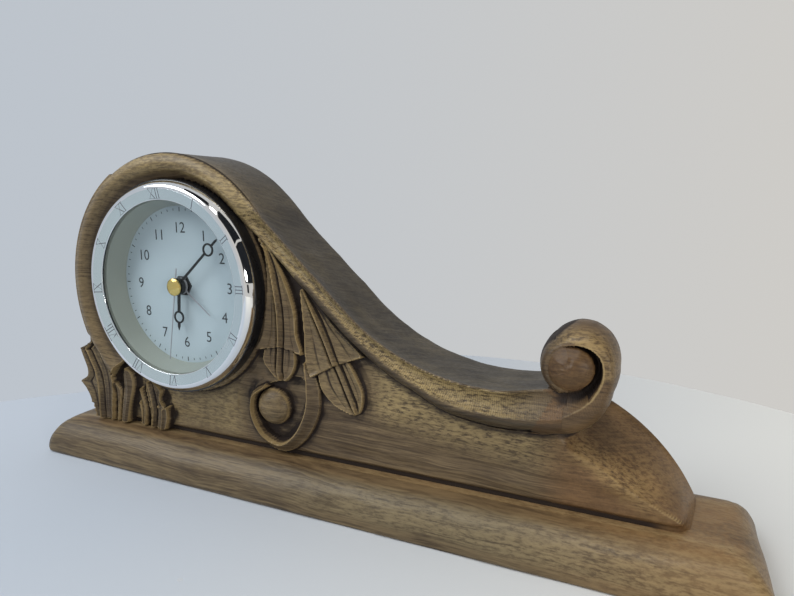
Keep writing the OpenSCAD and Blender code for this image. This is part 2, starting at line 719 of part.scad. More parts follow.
module cannon_pinion() color(brass) on_clock() difference() {
    union() {
        disc(minute_tube, minute_depth - boss_height, plate_far + 1.8);
        wheel(cannon_teeth, motion_module, motion_angle, motion_level, motion_level + wheel_width);
    }
    disc(arbor_radius + running_gap, 0, inside_far);
}
module motion_wheel() color(white) on_clock() translate(motion_place) difference() {
    union() {
        wheel(motion_teeth, motion_module, mesh_phase(motion_angle, cannon_teeth, motion_teeth,
            motion_angle), motion_level, motion_level + wheel_width);
        wheel(motion_pinion_teeth, motion_module, motion_angle + 180, hour_level - 0.1,
            motion_level + e);
    }
    disc(post_radius + running_gap, 0, inside_far);
}
module hour_wheel() color(white) on_clock() difference() {
    union() {
        disc(hour_tube, hour_depth - boss_height, hour_level + wheel_width);
        wheel(hour_teeth, motion_module, mesh_phase(motion_angle + 180, motion_pinion_teeth,
            hour_teeth, motion_angle + 180), hour_level, hour_level + wheel_width);
    }
    disc(minute_tube + running_gap, 0, inside_far);
}
module alarm_wheel() color(white) on_clock() difference() {
    union() {
        disc(alarm_tube, alarm_depth - boss_height * 0.7, alarm_level + wheel_width);
        wheel(alarm_teeth, motion_module, alarm_setting_angle, alarm_level,
            alarm_level + wheel_width);
    }
    disc(hour_tube + running_gap, 0, inside_far);
}
module centre_wheel() color(white) on_clock() difference() {
    wheel(centre_teeth, centre_module, third_angle, centre_level, centre_level + wheel_width);
    disc(minute_tube + running_gap, 0, inside_far);
}
module third_wheel() color(white) on_clock() translate(third_place) {
    wheel(third_teeth, train_module, mesh_phase(third_angle, second_pinion_teeth, third_teeth,
        third_angle), third_level, third_level + wheel_width);
    wheel(third_pinion_teeth, centre_module, mesh_phase(third_angle, centre_teeth,
        third_pinion_teeth, third_angle), centre_level - 0.1, third_level + e);
    disc(third_pivot, plate_near + 0.1, inside_far + 0.5);
}
module second_wheel() color(white) on_clock() {
    disc(arbor_radius, second_depth - 0.5, inside_far + 0.5);
    wheel(second_pinion_teeth, train_module, third_angle, third_level - 0.1, second_level + e);
    wheel(second_teeth, train_module, fifth_angle, second_level, second_level + wheel_width);
}
module fifth_wheel() color(white) on_clock() translate(fifth_place) difference() {
    union() {
        wheel(fifth_pinion_teeth, train_module, mesh_phase(fifth_angle, second_teeth,
            fifth_pinion_teeth, fifth_angle), second_level - 0.1, fifth_level + e);
        wheel(fifth_teeth, fifth_module, rotor_angle, fifth_level, fifth_level + wheel_width);
    }
    disc(pivot_radius + running_gap, 0, movement_far);
}
module rotor() color("#55585c") on_clock() translate(rotor_place) {
    wheel(rotor_teeth, fifth_module, mesh_phase(rotor_angle, fifth_teeth, rotor_teeth, rotor_angle),
        fifth_level - 0.1, fifth_level + wheel_width + 0.1);
    disc(magnet_radius, centre_level, fifth_level - 0.1 + e);
    disc(pivot_radius, plate_near + 0.1, inside_far + 0.5);
}

// Square plate with rounded corners, on the clock's axis
module rounded_square(side, corner, near, far)
    translate([0, 0, -far])
        linear_extrude(far - near)
            union() {
                square([side, side - 2 * corner], center = true);
                square([side - 2 * corner, side], center = true);
                for (x = [-1, 1], y = [-1, 1])
                    translate([x, y] * (side / 2 - corner))
                        circle(corner, $fn = 32);
            }
module block(low, high, near, far)
    translate([low[0], low[1], -far])
        cube([high[0] - low[0], high[1] - low[1], far - near]);

// Battery bay along the foot of the movement
half_side = movement_side / 2;
battery_radius = battery_diameter / 2;
battery_y = -half_side + shell_wall + slip_gap + battery_radius;
bay_top = battery_y + battery_radius + slip_gap;
bay_end = battery_length / 2 + 1.4;
battery_depth = movement_far - battery_radius - 0.2;
bay_floor = battery_depth - battery_radius - slip_gap;
wheel_room_low = bay_top + shell_wall;
module wheel_room(near, far)
    block([-half_side + shell_wall, wheel_room_low], [half_side - shell_wall, half_side - shell_wall],
        near, far);
module bay_room(near, far)
    block([-bay_end, -half_side + shell_wall], [bay_end, bay_top], near, far);
shell_corner = 4;
screw_inset = 4;
screw_corner = half_side - screw_inset;
screw_places = [[-screw_corner, screw_corner], [screw_corner, screw_corner],
    [screw_corner, wheel_room_low + 2.5], [-screw_corner, wheel_room_low + 2.5]];
boss_radius = small_screw_diameter / 2 + 1.2;
module movement_front() color(black) on_clock() difference() {
    union() {
        disc(bush_radius, nut_near - 0.6, movement_near + e);
        difference() {
            rounded_square(movement_side, shell_corner, movement_near, split);
            wheel_room(inside_near, split + 1);
            bay_room(bay_floor, split + 1);
        }
        translate(motion_place)
            disc(post_radius, inside_near - e, plate_near - 0.1);
        for (p = screw_places) translate(p)
            disc(boss_radius, inside_near - e, split);
    }
    disc(alarm_tube + running_gap, 0, inside_near + 1);
    for (p = screw_places) translate(p)
        disc(small_screw_diameter / 2 + running_gap, split - 5, split + 1);
}
module movement_back() color("#303236") on_clock() difference() {
    union() {
        difference() {
            rounded_square(movement_side, shell_corner, split, movement_far);
            wheel_room(split - 1, inside_far);
            bay_room(split - 1, movement_far + 1);
        }
        translate(fifth_place)
            disc(pivot_radius, second_level - 0.3, inside_far + e);
        for (p = screw_places) translate(p)
            disc(boss_radius, split, inside_far + e);
    }
    for (p = screw_places) translate(p) {
        disc(small_screw_diameter / 2 + slip_gap, split - 1, movement_far + 1);
        disc(small_screw_diameter + slip_gap, movement_far - 0.9, movement_far + 1);
    }
    for (p = [time_place, alarm_place]) translate(p)
        disc(shaft_radius + running_gap, inside_far - 1, movement_far + 1);
    disc(arbor_radius + running_gap, inside_far - 1, inside_far + 0.6);
    translate(third_place)
        disc(third_pivot + running_gap, inside_far - 1, inside_far + 0.6);
    translate(rotor_place)
        disc(pivot_radius + running_gap, inside_far - 1, inside_far + 0.6);
    translate(switch_place)
        block([-2, -1], [2 + switch_travel, 1], inside_far - 1, movement_far + 1);
}

// Plate between the motion work and the train
module middle_plate() color("#d8d8d4") on_clock() difference() {
    block([-half_side + shell_wall + slip_gap, wheel_room_low + slip_gap],
        [half_side - shell_wall - slip_gap, half_side - shell_wall - slip_gap], plate_near, plate_far);
    disc(minute_tube + running_gap, 0, movement_far);
    translate(third_place)
        disc(third_pivot + running_gap, 0, movement_far);
    translate(rotor_place)
        disc(pivot_radius + running_gap, 0, movement_far);
    for (p = [time_place, alarm_place]) translate(p)
        disc(shaft_radius + running_gap, 0, movement_far);
    for (p = screw_places) translate(p)
        disc(boss_radius + slip_gap, 0, movement_far);
}

// Small screws that hold the movement's shells together
module movement_screws() color(steel) on_clock()
    for (p = screw_places) translate(p) {
        disc(small_screw_diameter, movement_far - 0.8, movement_far - 0.1);
        disc(small_screw_diameter / 2, split - 4, movement_far - 0.8 + e);
    }

// Rotor's magnetic circuit: a flat stator with a coil on its leg
coil_x = -21;
leg_half = 1.2;
lower_arm = [-9.2, -0.8];
upper_arm = [9.8, 12];
stator_near = centre_level + 1.2;
stator_far = stator_near + 0.7;
module stator() color(steel) on_clock() difference() {
    union() {
        block([coil_x - leg_half, lower_arm[0]], [rotor_place[0] + 4.2, lower_arm[1]],
            stator_near, stator_far);
        block([coil_x - leg_half, lower_arm[0]], [coil_x + leg_half, upper_arm[1]],
            stator_near, stator_far);
        block([coil_x - leg_half, upper_arm[0]], [coil_x + 7, upper_arm[1]], stator_near, stator_far);
    }
    translate(rotor_place)
        disc(magnet_radius + pass_gap, 0, movement_far);
}
winding_radius = 1.7;
cheek_radius = 2.05;
cheek = 0.8;
coil_length = upper_arm[0] - lower_arm[1] - 2 * slip_gap;
module coil() color("#b5702c") on_clock() difference() {
    translate([coil_x, upper_arm[0] - slip_gap, -(stator_near + stator_far) / 2])
        rotate([90, 0, 0])
            union() {
                cylinder(r = winding_radius, h = coil_length);
                cylinder(r = cheek_radius, h = cheek);
                translate([0, 0, coil_length - cheek])
                    cylinder(r = cheek_radius, h = cheek);
            }
    block([coil_x - leg_half - slip_gap / 2, lower_arm[0]],
        [coil_x + leg_half + slip_gap / 2, upper_arm[1]],
        stator_near - slip_gap / 2, stator_far + slip_gap / 2);
}

// Circuit board with its clock chip, and the buzzer disc
module circuit_board() color("#2f6b3c") on_clock() {
    block([4, 15.5], [21.6, 24], plate_far + 0.02, plate_far + 1);
    block([12, 17.5], [18, 22], plate_far + 1 - e, plate_far + 2.4);
}
module buzzer() color(brass) on_clock()
    translate([-16.5, 16.5])
        disc(7.5, inside_near + 0.02, inside_near + 0.5);

// Battery, lying in its bay, and the two leaf contacts at its ends
terminal_radius = 2.7;
terminal_length = 1;
module battery() color("#3a6ea5") on_clock()
    translate([0, battery_y, -battery_depth])
        rotate([0, 90, 0]) {
            translate([0, 0, -battery_length / 2])
                cylinder(r = battery_radius, h = battery_length);
            translate([0, 0, battery_length / 2 - e])
                cylinder(r = terminal_radius, h = terminal_length);
        }
module battery_contacts() color(steel) on_clock()
    for (s = [-1, 1]) translate([s * (bay_end - 0.2), battery_y, 0])
        block([-0.18, -3.5], [0.18, 3.5], bay_floor + 0.02, movement_far - 2);

// Knobs that set the time and the alarm, each on a shaft with a pinion
module setting_knob(place, level, size, phase) on_clock() translate(place) {
    wheel(setting_teeth, motion_module, phase, level, level + wheel_width);
    disc(shaft_radius, level, movement_far + 0.6);
    translate([0, 0, -movement_far - 0.5 - size])
        difference() {
            cylinder(d = knob_diameter, h = size);
            for (a = [0:30:359]) rotate([0, 0, a])
                translate([knob_diameter / 2, 0, -1])
                    cylinder(r = 0.5, h = size + 2, $fn = 24);
        }
}
motion_phase = mesh_phase(motion_angle, cannon_teeth, motion_teeth, motion_angle);
module time_knob() color(black)
    setting_knob(time_place, motion_level, knob_stand - 0.5,
        mesh_phase(motion_phase, motion_teeth, setting_teeth, motion_angle));
module alarm_knob() color(black)
    setting_knob(alarm_place, alarm_level, knob_stand - 0.5,
        mesh_phase(alarm_setting_angle, alarm_teeth, setting_teeth, alarm_setting_angle));

// Slide switch of the alarm
switch_place = [10, 21];
switch_travel = 3;
module alarm_switch() color("#c23b2e") on_clock() translate(switch_place) {
    block([-3.4, -1.8], [3.4, 1.8], inside_far - 0.8, inside_far - 0.1);
    block([-1.8, -0.8], [1.8, 0.8], inside_far - 0.1 - e, movement_far + 1.6);
}

plinth();
case();
case_screws();
insert_body();
grip_band();
bezel();
glass();
dial_ring();
dial();
dial_nut();
hour_hand();
minute_hand();
second_hand();
hub_cap();
alarm_hand();
movement_front();
movement_back();
middle_plate();
movement_screws();
cannon_pinion();
motion_wheel();
hour_wheel();
alarm_wheel();
centre_wheel();
third_wheel();
second_wheel();
fifth_wheel();
rotor();
stator();
coil();
circuit_board();
buzzer();
battery();
battery_contacts();
time_knob();
alarm_knob();
alarm_switch();
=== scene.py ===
"""Looks of the carved mantel clock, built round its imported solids.

Shapes are worked out in millimetres in the part's own frame (X along the plinth, Y to the back, Z up)
and become metres when their mesh is made. A place on the front is (x, z).
"""
import math
import bmesh
import bpy
import numpy as np
from mathutils import Euler, Matrix


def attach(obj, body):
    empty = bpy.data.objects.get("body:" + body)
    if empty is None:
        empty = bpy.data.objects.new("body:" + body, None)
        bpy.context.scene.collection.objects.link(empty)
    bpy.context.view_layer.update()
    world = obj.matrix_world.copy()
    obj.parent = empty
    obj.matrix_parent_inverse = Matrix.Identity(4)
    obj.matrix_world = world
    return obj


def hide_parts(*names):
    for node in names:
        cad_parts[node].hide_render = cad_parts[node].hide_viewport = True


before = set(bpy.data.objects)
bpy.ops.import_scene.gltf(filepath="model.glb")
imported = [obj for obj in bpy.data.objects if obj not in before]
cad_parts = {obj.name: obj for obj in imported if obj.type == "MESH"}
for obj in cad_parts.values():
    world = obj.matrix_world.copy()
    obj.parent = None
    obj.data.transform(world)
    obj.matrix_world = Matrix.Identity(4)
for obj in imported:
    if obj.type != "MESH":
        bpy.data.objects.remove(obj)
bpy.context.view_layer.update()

PLINTH = np.array((340.0, 64.0, 18.4))
AXIS = np.array((-81.8, 93.8))
BEZEL_Y, BORE_R = -27.5, 46.5
FIELD_Y, RELIEF, BACK_Y, SEAT_RISE = -15.0, 7.5, 15.0, 1.8
HEAD, HEAD_R = AXIS + (-3.0, -1.8), 64.4
DIP, DIP_R = np.array((75.0, 156.7)), 92.0
EYE = np.array((102.3, 75.8))
TOE, TOE_R = np.array((78.0, -12.0)), 75.5
NECK, NECK_R = np.array((101.6, 63.4)), 11.4
LEFT_FOOT, LEFT_TOP = np.array((-147.8, 18.4)), np.array((-143.0, 73.0))
DEGREE = 0.01745  # radians in a degree, for lengths of arcs
OPEN_ENDS = (0.001, 1.0)
# Marks that the wood reads: crease darkens recesses as painted shade and pales crests, part wear and part
# painted highlight; the next mark darkens gaps, bores, the foot and leaf walls as painted shade.
MARKS = ("crease", "painted_shade", "stroke", "rough", "gold", "ruddy", "grey", "hatch")


# Meshes

def mesh_piece(name, points, faces, material, smooth=True, marks=None):
    """Object from points in millimetres and a list of index arrays, one per face size. Marks are values
    at the points that the material reads."""
    mesh = bpy.data.meshes.new(name)
    sizes = np.concatenate([np.full(len(part), part.shape[1]) for part in faces])
    corners = np.concatenate([part.ravel() for part in faces])
    mesh.vertices.add(len(points))
    mesh.vertices.foreach_set("co", (points * 0.001).ravel())
    mesh.loops.add(len(corners))
    mesh.loops.foreach_set("vertex_index", corners)
    mesh.polygons.add(len(sizes))
    mesh.polygons.foreach_set("loop_start", np.concatenate([[0], np.cumsum(sizes)[:-1]]))
    mesh.polygons.foreach_set("use_smooth", np.full(len(sizes), smooth))
    mesh.update(calc_edges=True)
    mesh.validate()
    for key, values in (marks or {}).items():
        mesh.attributes.new(key, "FLOAT", "POINT").data.foreach_set("value", values.astype(np.float32))
    return placed(name, mesh, material)


def placed(name, mesh, material):
    """Object of a finished mesh, in one material, that rides on the fixed body."""
    mesh.materials.append(material)
    piece = bpy.data.objects.new(name, mesh)
    bpy.context.scene.collection.objects.link(piece)
    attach(piece, "root")
    return piece


def grid_faces(rows, columns, wrap_rows=False, wrap_columns=False):
    """Quads of a grid of points numbered row by row."""
    i = np.arange(rows if wrap_rows else rows - 1)[:, None]
    k = np.arange(columns if wrap_columns else columns - 1)
    n, m = (i + 1) % rows, (k + 1) % columns
    return np.stack(np.broadcast_arrays(i * columns + k, i * columns + m, n * columns + m,
                                        n * columns + k), -1).reshape(-1, 4)


def joined_marks(*parts):
    """Marks of a piece made of parts: each part is its marks and the shape that they are spread over. A
    mark that a part doesn't name is 0 there."""
    return {name: np.concatenate([np.broadcast_to(marks.get(name, 0.0), shape).ravel()
                                  for marks, shape in parts]) for name in MARKS}


def sealed(piece, sharp=35, merge=1e-7, open_ends=()):
    """Fills the flat open ends that lie under each height in metres, merges doubled points, turns the
    faces outwards and keeps edges past the angle sharp."""
    work = bmesh.new()
    work.from_mesh(piece.data)
    for level in open_ends:
        loose = [edge for edge in work.edges if edge.is_boundary and edge.verts[0].co.z < level]
        if loose:
            bmesh.ops.triangle_fill(work, use_beauty=False, edges=loose)
        for face in work.faces:
            face.smooth = True
    if merge:
        bmesh.ops.remove_doubles(work, verts=work.verts, dist=merge)
    bmesh.ops.recalc_face_normals(work, faces=work.faces)
    for edge in work.edges:
        edge.smooth = edge.calc_face_angle(0) < math.radians(sharp)
    work.to_mesh(piece.data)
    work.free()
    return piece


def lathe(name, profile, material, steps=192):
    """Turns a closed outline of (radius, depth) pairs round the clock's axis: at angle a the point is
    the axis + radius * (cos a, sin a), and its Y is the bezel's front plane plus the depth."""
    radius, depth = np.transpose(profile)
    a = np.linspace(0, 2 * np.pi, steps, endpoint=False)[:, None]
    points = np.stack([AXIS[0] + radius * np.cos(a), BEZEL_Y + depth + 0 * a,
                       AXIS[1] + radius * np.sin(a)], -1).reshape(-1, 3)
    return sealed(mesh_piece(name, points, [grid_faces(steps, len(radius), True, True)], material))


def rounded(corners, radii, steps=6):
    """Outline through corners, each rounded by a quadratic curve that starts and ends its radius away."""
    corners = np.asarray(corners, float)
    out = []
    for i, (corner, radius) in enumerate(zip(corners, radii)):
        arms = [corners[i - 1] - corner, corners[(i + 1) % len(corners)] - corner]
        longs = [np.linalg.norm(arm) for arm in arms]
        start, end = (corner + arm / long * min(radius, long * 0.45) for arm, long in zip(arms, longs))
        t = np.linspace(0, 1, steps + 1 if radius else 1)[:, None]
        out.append((1 - t) ** 2 * start + 2 * t * (1 - t) * corner + t * t * end)
    return np.vstack(out)


# Hand-carved surfaces as functions of x and z

def far(x, z, centre):
    """Distance from a centre on the front."""
    return np.hypot(x - centre[0], z - centre[1])


def heading(x, z, centre):
    """Direction from a centre on the front, in degrees."""
    return np.degrees(np.arctan2(z - centre[1], x - centre[0]))


def ease(low, high, value):
    """0 below low, 1 above high, and a smooth cubic step between."""
    t = np.clip((value - low) / (high - low), 0, 1)
    return t * t * (3 - 2 * t)


def bell(value, middle, width):
    """1 at the middle, falling off on both sides as exp(-((value - middle) / width)^2)."""
    return np.exp(-((value - middle) / width) ** 2)


def quarter(share, power=2):
    """0 at share 0 and 1 at share 1, bent like a quarter of an ellipse: 1 - sqrt(1 - share^power)."""
    return 1 - np.sqrt(np.maximum(1 - share ** power, 0))


def waves(x, z, length, seed, count=7):
    """Sum of sine waves in random directions, about 1 high, for slow unevenness."""
    r = np.random.default_rng(seed)
    total = 0 * x
    for angle, phase, stretch in zip(r.uniform(0, np.pi, count), r.uniform(0, 6.3, count),
                                     r.uniform(0.6, 1.6, count)):
        total = total + np.sin((x * np.cos(angle) + z * np.sin(angle)) * 6.283 / (length * stretch) + phase)
    return total / math.sqrt(count)


def scoops(x, z, size, seed, stretch=1.0):
    """Gouge cuts: squared distance to the nearest of a jittered lattice of cut centres, 0 in the middle
    of a cut and about 1 on the crests between cuts."""
    def jitter(u, v, across, up, spread):
        value = np.sin(u * across + v * up + seed) * spread
        return value - np.floor(value)

    u, v = x / (size * stretch), z / size
    best = 9.0
    for du in (-1, 0, 1):
        for dv in (-1, 0, 1):
            cu, cv = np.floor(u) + du, np.floor(v) + dv
            best = np.minimum(best, (u - cu - jitter(cu, cv, 127.1, 311.7, 43758.5453)) ** 2
                              + (v - cv - jitter(cu, cv, 269.5, 183.3, 24634.6345)) ** 2)
    return np.minimum(best, 1.0)


def smooth_rows(points, steps=8):
    """Catmull-Rom curve through rows of numbers."""
    p = np.asarray(points, float)
    a, b = np.vstack([p[:1], p[:-2]]), p[:-1]
    c, d = p[1:], np.vstack([p[2:], p[-1:]])
    t = (np.arange(steps) / steps)[None, :, None]
    a, b, c, d = (q[:, None, :] for q in (a, b, c, d))
    curve = 0.5 * (2 * b + (c - a) * t + (2 * a - 5 * b + 4 * c - d) * t ** 2
                   + (3 * b - a - 3 * c + d) * t ** 3)
    return np.vstack([curve.reshape(-1, p.shape[1]), p[-1:]])


def unit(degrees):
    """Unit vector in a direction."""
    return np.array((math.cos(math.radians(degrees)), math.sin(math.radians(degrees))))


across = DIP - HEAD
SLOPE = math.degrees(math.atan2(across[1], across[0])
                     - math.asin((HEAD_R + DIP_R) / np.linalg.norm(across)))
OUT = unit(SLOPE + 90)
SLOPE_START, SLOPE_END = HEAD + HEAD_R * OUT, DIP - DIP_R * OUT
SLOPE_RUN = SLOPE_END - SLOPE_START
SLOPE_LONG = np.linalg.norm(SLOPE_RUN)


def sweep_place(x, z):
    """Distance d inwards from the sweep's lip, station k along it (under 0 round the head, 0 to 1 down
    the slope, 1 to 2 along the hollow curve) and millimetres s along it."""
    from_start = x - SLOPE_START[0], z - SLOPE_START[1]
    along = (from_start[0] * SLOPE_RUN[0] + from_start[1] * SLOPE_RUN[1]) / SLOPE_LONG ** 2
    inward = -(from_start[0] * OUT[0] + from_start[1] * OUT[1])
    head_turn = (heading(x, z, HEAD) - (SLOPE + 90)) % 360
    dip_turn = heading(x, z, DIP) % 360 - (SLOPE + 270)
    round_head, on_curve = along < 0, along > 1
    d = np.where(round_head, HEAD_R - far(x, z, HEAD), np.where(on_curve, far(x, z, DIP) - DIP_R, inward))
    k = np.where(round_head, -head_turn / 100, np.where(on_curve, 1 + dip_turn / (8 - SLOPE), along))
    s = np.where(round_head, -head_turn * HEAD_R * DEGREE,
                 np.where(on_curve, SLOPE_LONG + dip_turn * DIP_R * DEGREE, along * SLOPE_LONG))
    return d, k, s


def hollow_width(k):
    """Width of the gouged hollow at a station: a share of 10.5 mm."""
    return 10.5 * np.interp(k, [0, 0.4, 0.75, 1, 1.26, 1.46, 1.65, 2, 2.1],
                            [0.84, 0.8, 0.52, 0.44, 0.52, 0.67, 0.91, 1, 1.02])


def bevel_width(k):
    """Width of the bevel under the inner ridge at a station: a share of 7 mm."""
    return 7 * np.interp(k, [0, 0.4, 0.75, 1, 1.46, 1.65, 1.84, 2],
                         [0.3, 0.35, 0.85, 0.93, 0.9, 0.96, 1, 0.95])


def border_height(d):
    """Rounded border of the head as a curve of the distance from its edge."""
    return np.interp(d, [0, 0.6, 1.6, 3.0, 4.6, 6.0, 7.2, 8.4, 9.4, 10.5, 12, 17.4],
                     [4.2, 5.4, 6.3, 7.0, 7.4, 7.2, 6.4, 5.2, 4.2, 3.6, 2.7, 2.2])


def band_height(x, z):
    """Lip, gouged hollow, inner ridge and bevel, each a short curve of the distance from the lip. Round
    the head they turn into its border."""
    d, k, s = sweep_place(x, z)
    w, b = hollow_width(k), bevel_width(k)
    crest = RELIEF * np.interp(k, [0, 0.4, 0.75, 1], [0.4, 0.5, 0.85, 1])
    lip = RELIEF - 3.5 * ease(1.86, 2.02, k)
    t = np.clip((d - 0.6) / np.maximum(w - 0.6, 0.1), 0, 1)
    deep = np.minimum(3.6, 0.42 * w) * (1 - 0.6 * ease(1.9, 2.05, k))
    hollow = lip + (crest - lip) * ease(0, 1, t) - deep * np.sin(np.pi * t) ** 0.7
    hollow = np.where(d < 0.6, lip - 0.4 * (1 - np.clip(d / 0.6, 0, 1)) ** 2, hollow)
    u = np.clip((d - w) / b, 0, 1.3)
    bevel = crest * (1 - np.minimum(u, 1) ** 2.2) - 0.9 * bell(u, 1.04, 0.09)
    height = np.where(d < w, hollow, bevel)
    height = height + 0.22 * waves(s, 2 * d, 17, 8, 5) * ease(0.1, 0.6, u)
    mix = 1 - ease(0.02, 0.3, k)
    return height * (1 - mix) + border_height(d) * mix, d, k, s


def leaf_lines(rows):
    """Left edge, midrib and right edge of a leaf as smooth curves of the way down it."""
    rows = smooth_rows(rows)
    return rows[np.argsort(rows[:, 0])]


def leaf_height(x, z, rows, rise, at, turn, sag):
    """Leaf with a midrib: across each half the height is a groove beside the rib, a hollowed blade with a
    raised rim and a steep wall at the edge; along it the edges and the midrib follow the rows. The end
    is drawn back by sag beside the rib, so that its corners stand out as tips."""
    c, s = unit(turn)
    u = (x - at[0]) * c + (z - at[1]) * s
    v = (x - at[0]) * s - (z - at[1]) * c
    rows = leaf_lines(rows)
    left, mid, right = (np.interp(v, rows[:, 0], rows[:, i]) for i in (1, 2, 3))
    half = np.maximum(np.where(u < mid, mid - left, right - mid), 0.05)
    share = np.abs(u - mid) / half
    inner = np.clip(share, 0, 1)
    away, edge = share * half, (1 - share) * half
    drawn = abs(sag) * (1 - inner) ** 1.3
    end = rows[-1, 0] - v - (drawn if sag > 0 else 0)
    start = v - rows[0, 0] - (drawn if sag < 0 else 0)
    tip = 0.9 * ease(2.6, 0.4, end if sag > 0 else start) * ease(0.3, 0.9, share) * (sag != 0)
    wall = ease(-0.1, 0.8, edge) * ease(-0.1, 0.8, end) * ease(-0.1, 0.3, start)
    slim = ease(4.4, 2.6, np.mean(rows[:, 3] - rows[:, 1]) / 2)
    groove = np.minimum(1.6, 0.3 * half) * bell(away, np.minimum(1.75, 0.26 * half + 0.1),
                                                np.minimum(0.62, 0.12 * half + 0.1))
    broad_blade = 0.86 - 0.26 * np.sin(np.pi * inner) + 0.1 * inner ** 4
    slim_blade = 1.02 - 0.5 * share ** 1.3
    midrib = rise * np.exp(-(away / np.minimum(0.85, 0.12 * half + 0.12)) ** 4)
    height = rise * (broad_blade * (1 - slim) + slim_blade * slim) - groove * (1 - slim) + tip
    height = np.maximum(height, (1 - slim) * midrib)
    height = height - 0.5 * ease(4, 7, half) * bell(share, 0.56, 0.055)
    height = height - 0.5 * ease(0.5, 0.0, edge) - 0.4 * ease(0.5, 0.0, end)
    return height * wall - 0.8 * (1 - wall), wall


# Each leaf: rows of (way down, left edge, midrib, right edge), rise, origin, turn and sag
FROND_TOP = AXIS + (50.0, 24.6)
SLANT_TOP = FROND_TOP + (21.5, -21.9)
FOOT = np.array((AXIS[0] - 50.0, PLINTH[2]))
LEAVES = [
    ([[41, 2.6, 7.7, 15.1], [54, -2.4, 6.3, 16], [60, 0.4, 5.9, 14.2], [65, 5.4, 6.6, 9.6]],
     2.9, FROND_TOP, 0, 0),
    ([[0, -1.6, -1, -0.4], [8, 1, 3.4, 6.6], [20, 1.9, 5.9, 13], [32, 0.9, 7.7, 17.0], [42, -1.0, 8, 17.6],
      [48, -4.0, 7.6, 19.6], [51.4, -7.2, 7.2, 20.6]], 4.4, FROND_TOP, 0, 2.4),
    ([[29, -8.1, 0.2, 6.2], [41, -12, 0.2, 7.5], [50, -9.6, 0.1, 7.6], [56, -4.6, 0, 4.4], [58.6, -1, 0, 1]],
     2.9, SLANT_TOP, 24.6, 0),
    ([[-1, -2.6, 0, 0.6], [9, -5.8, 0.2, 4.6], [18, -9.0, 0.3, 7.6], [26, -12.4, 0.3, 11.4],
      [33, -14.4, 0, 14.4], [36.6, -13.6, 0, 15.6]], 4.4, SLANT_TOP, 24.6, 1.0),
    ([[-21.4, 19.0, 19.3, 19.8], [-19, 18.9, 20.2, 21.4], [-13.4, 20.0, 21.6, 23.2], [-8, 20.6, 22.0, 23.6],
      [-0.3, 19.6, 20.8, 22.4]], 3.2, FOOT, 0, 0),
    ([[-13.8, 17.2, 17.6, 18.2], [-11.4, 17.6, 18.6, 20.0], [-6, 18.2, 19.4, 20.8], [-0.3, 17.6, 18.8, 20.4]],
     2.6, FOOT, 0, 0),
    ([[-25.4, 24.2, 25.2, 28.4], [-21.5, 23.4, 26.6, 34.8], [-16, 24.4, 28.0, 34.0], [-9, 25.4, 28.6, 38.4],
      [-0.3, 24.9, 26.8, 36]], 4.2, FOOT, 0, 0),
    ([[-13.8, 31.6, 35.6, 38.8], [-11, 31.4, 35.2, 38.6], [-6, 31.0, 34.8, 38.2], [-0.3, 30.0, 33.4, 36.2]],
     4.9, FOOT, 0, -1.6),
    ([[-22.8, 1.0, 1.6, 2.4], [-20.4, 1.2, 2.8, 4.6], [-17, 2.2, 3.9, 6.0], [-9, 2.2, 3.6, 5.2],
      [-0.3, 0.9, 2.2, 3.8]], 3.4, FOOT, 0, 0),
    ([[-31, 10.8, 11.4, 12.2], [-27.5, 8.6, 12.2, 15.4], [-20, 8.2, 12.8, 15.8], [-12, 6.4, 11.2, 13.4],
      [-0.3, 4.2, 8.0, 10.4]], 4.8, FOOT, 0, 0),
    ([[-42.6, -12, -11, -7.4], [-38.6, -20.0, -15.6, -3.0], [-37.2, -20.3, -14.6, -1.8],
      [-32.5, -18.4, -12.2, -0.4], [-27, -16.2, -9.4, 1.6], [-23.4, -16.8, -8.6, 2.4],
      [-20.4, -21.2, -8.2, 2.6], [-19, -20.8, -8.1, 2.6], [-15.6, -17.8, -8, 2.4], [-10.6, -15.4, -8.2, 1.6],
      [-0.3, -13.2, -8.4, 0.4]], 5.4, FOOT, 0, 0),
]
SCROLL = AXIS + (53.3, -53.4)
BUTTON, BUTTON_R = SCROLL + (-1.5, 0.3), 8.8
# stem of the scroll: rows of x, z and width
STEM = smooth_rows([[18, 23, 1.6], [18.6, 12, 5.4], [17.4, 1.5, 6], [12, -9.4, 5.4], [3.8, -16.0, 4.4],
                    [-6, -13.2, 3.6], [-11.6, -4.6, 2.8], [-11.2, 4.4, 2.2], [-5.4, 9.4, 1.2]], 14)
GROUND_TURN = [-202, -159, -114, -77, -38, 5, 33, 52, 70, 90, 113, 158, 201]
GROUND_FAR = [12.5, 12.8, 14.9, 17.0, 15.2, 18.3, 21.5, 20, 15, 12, 11.1, 12.5, 12.8]


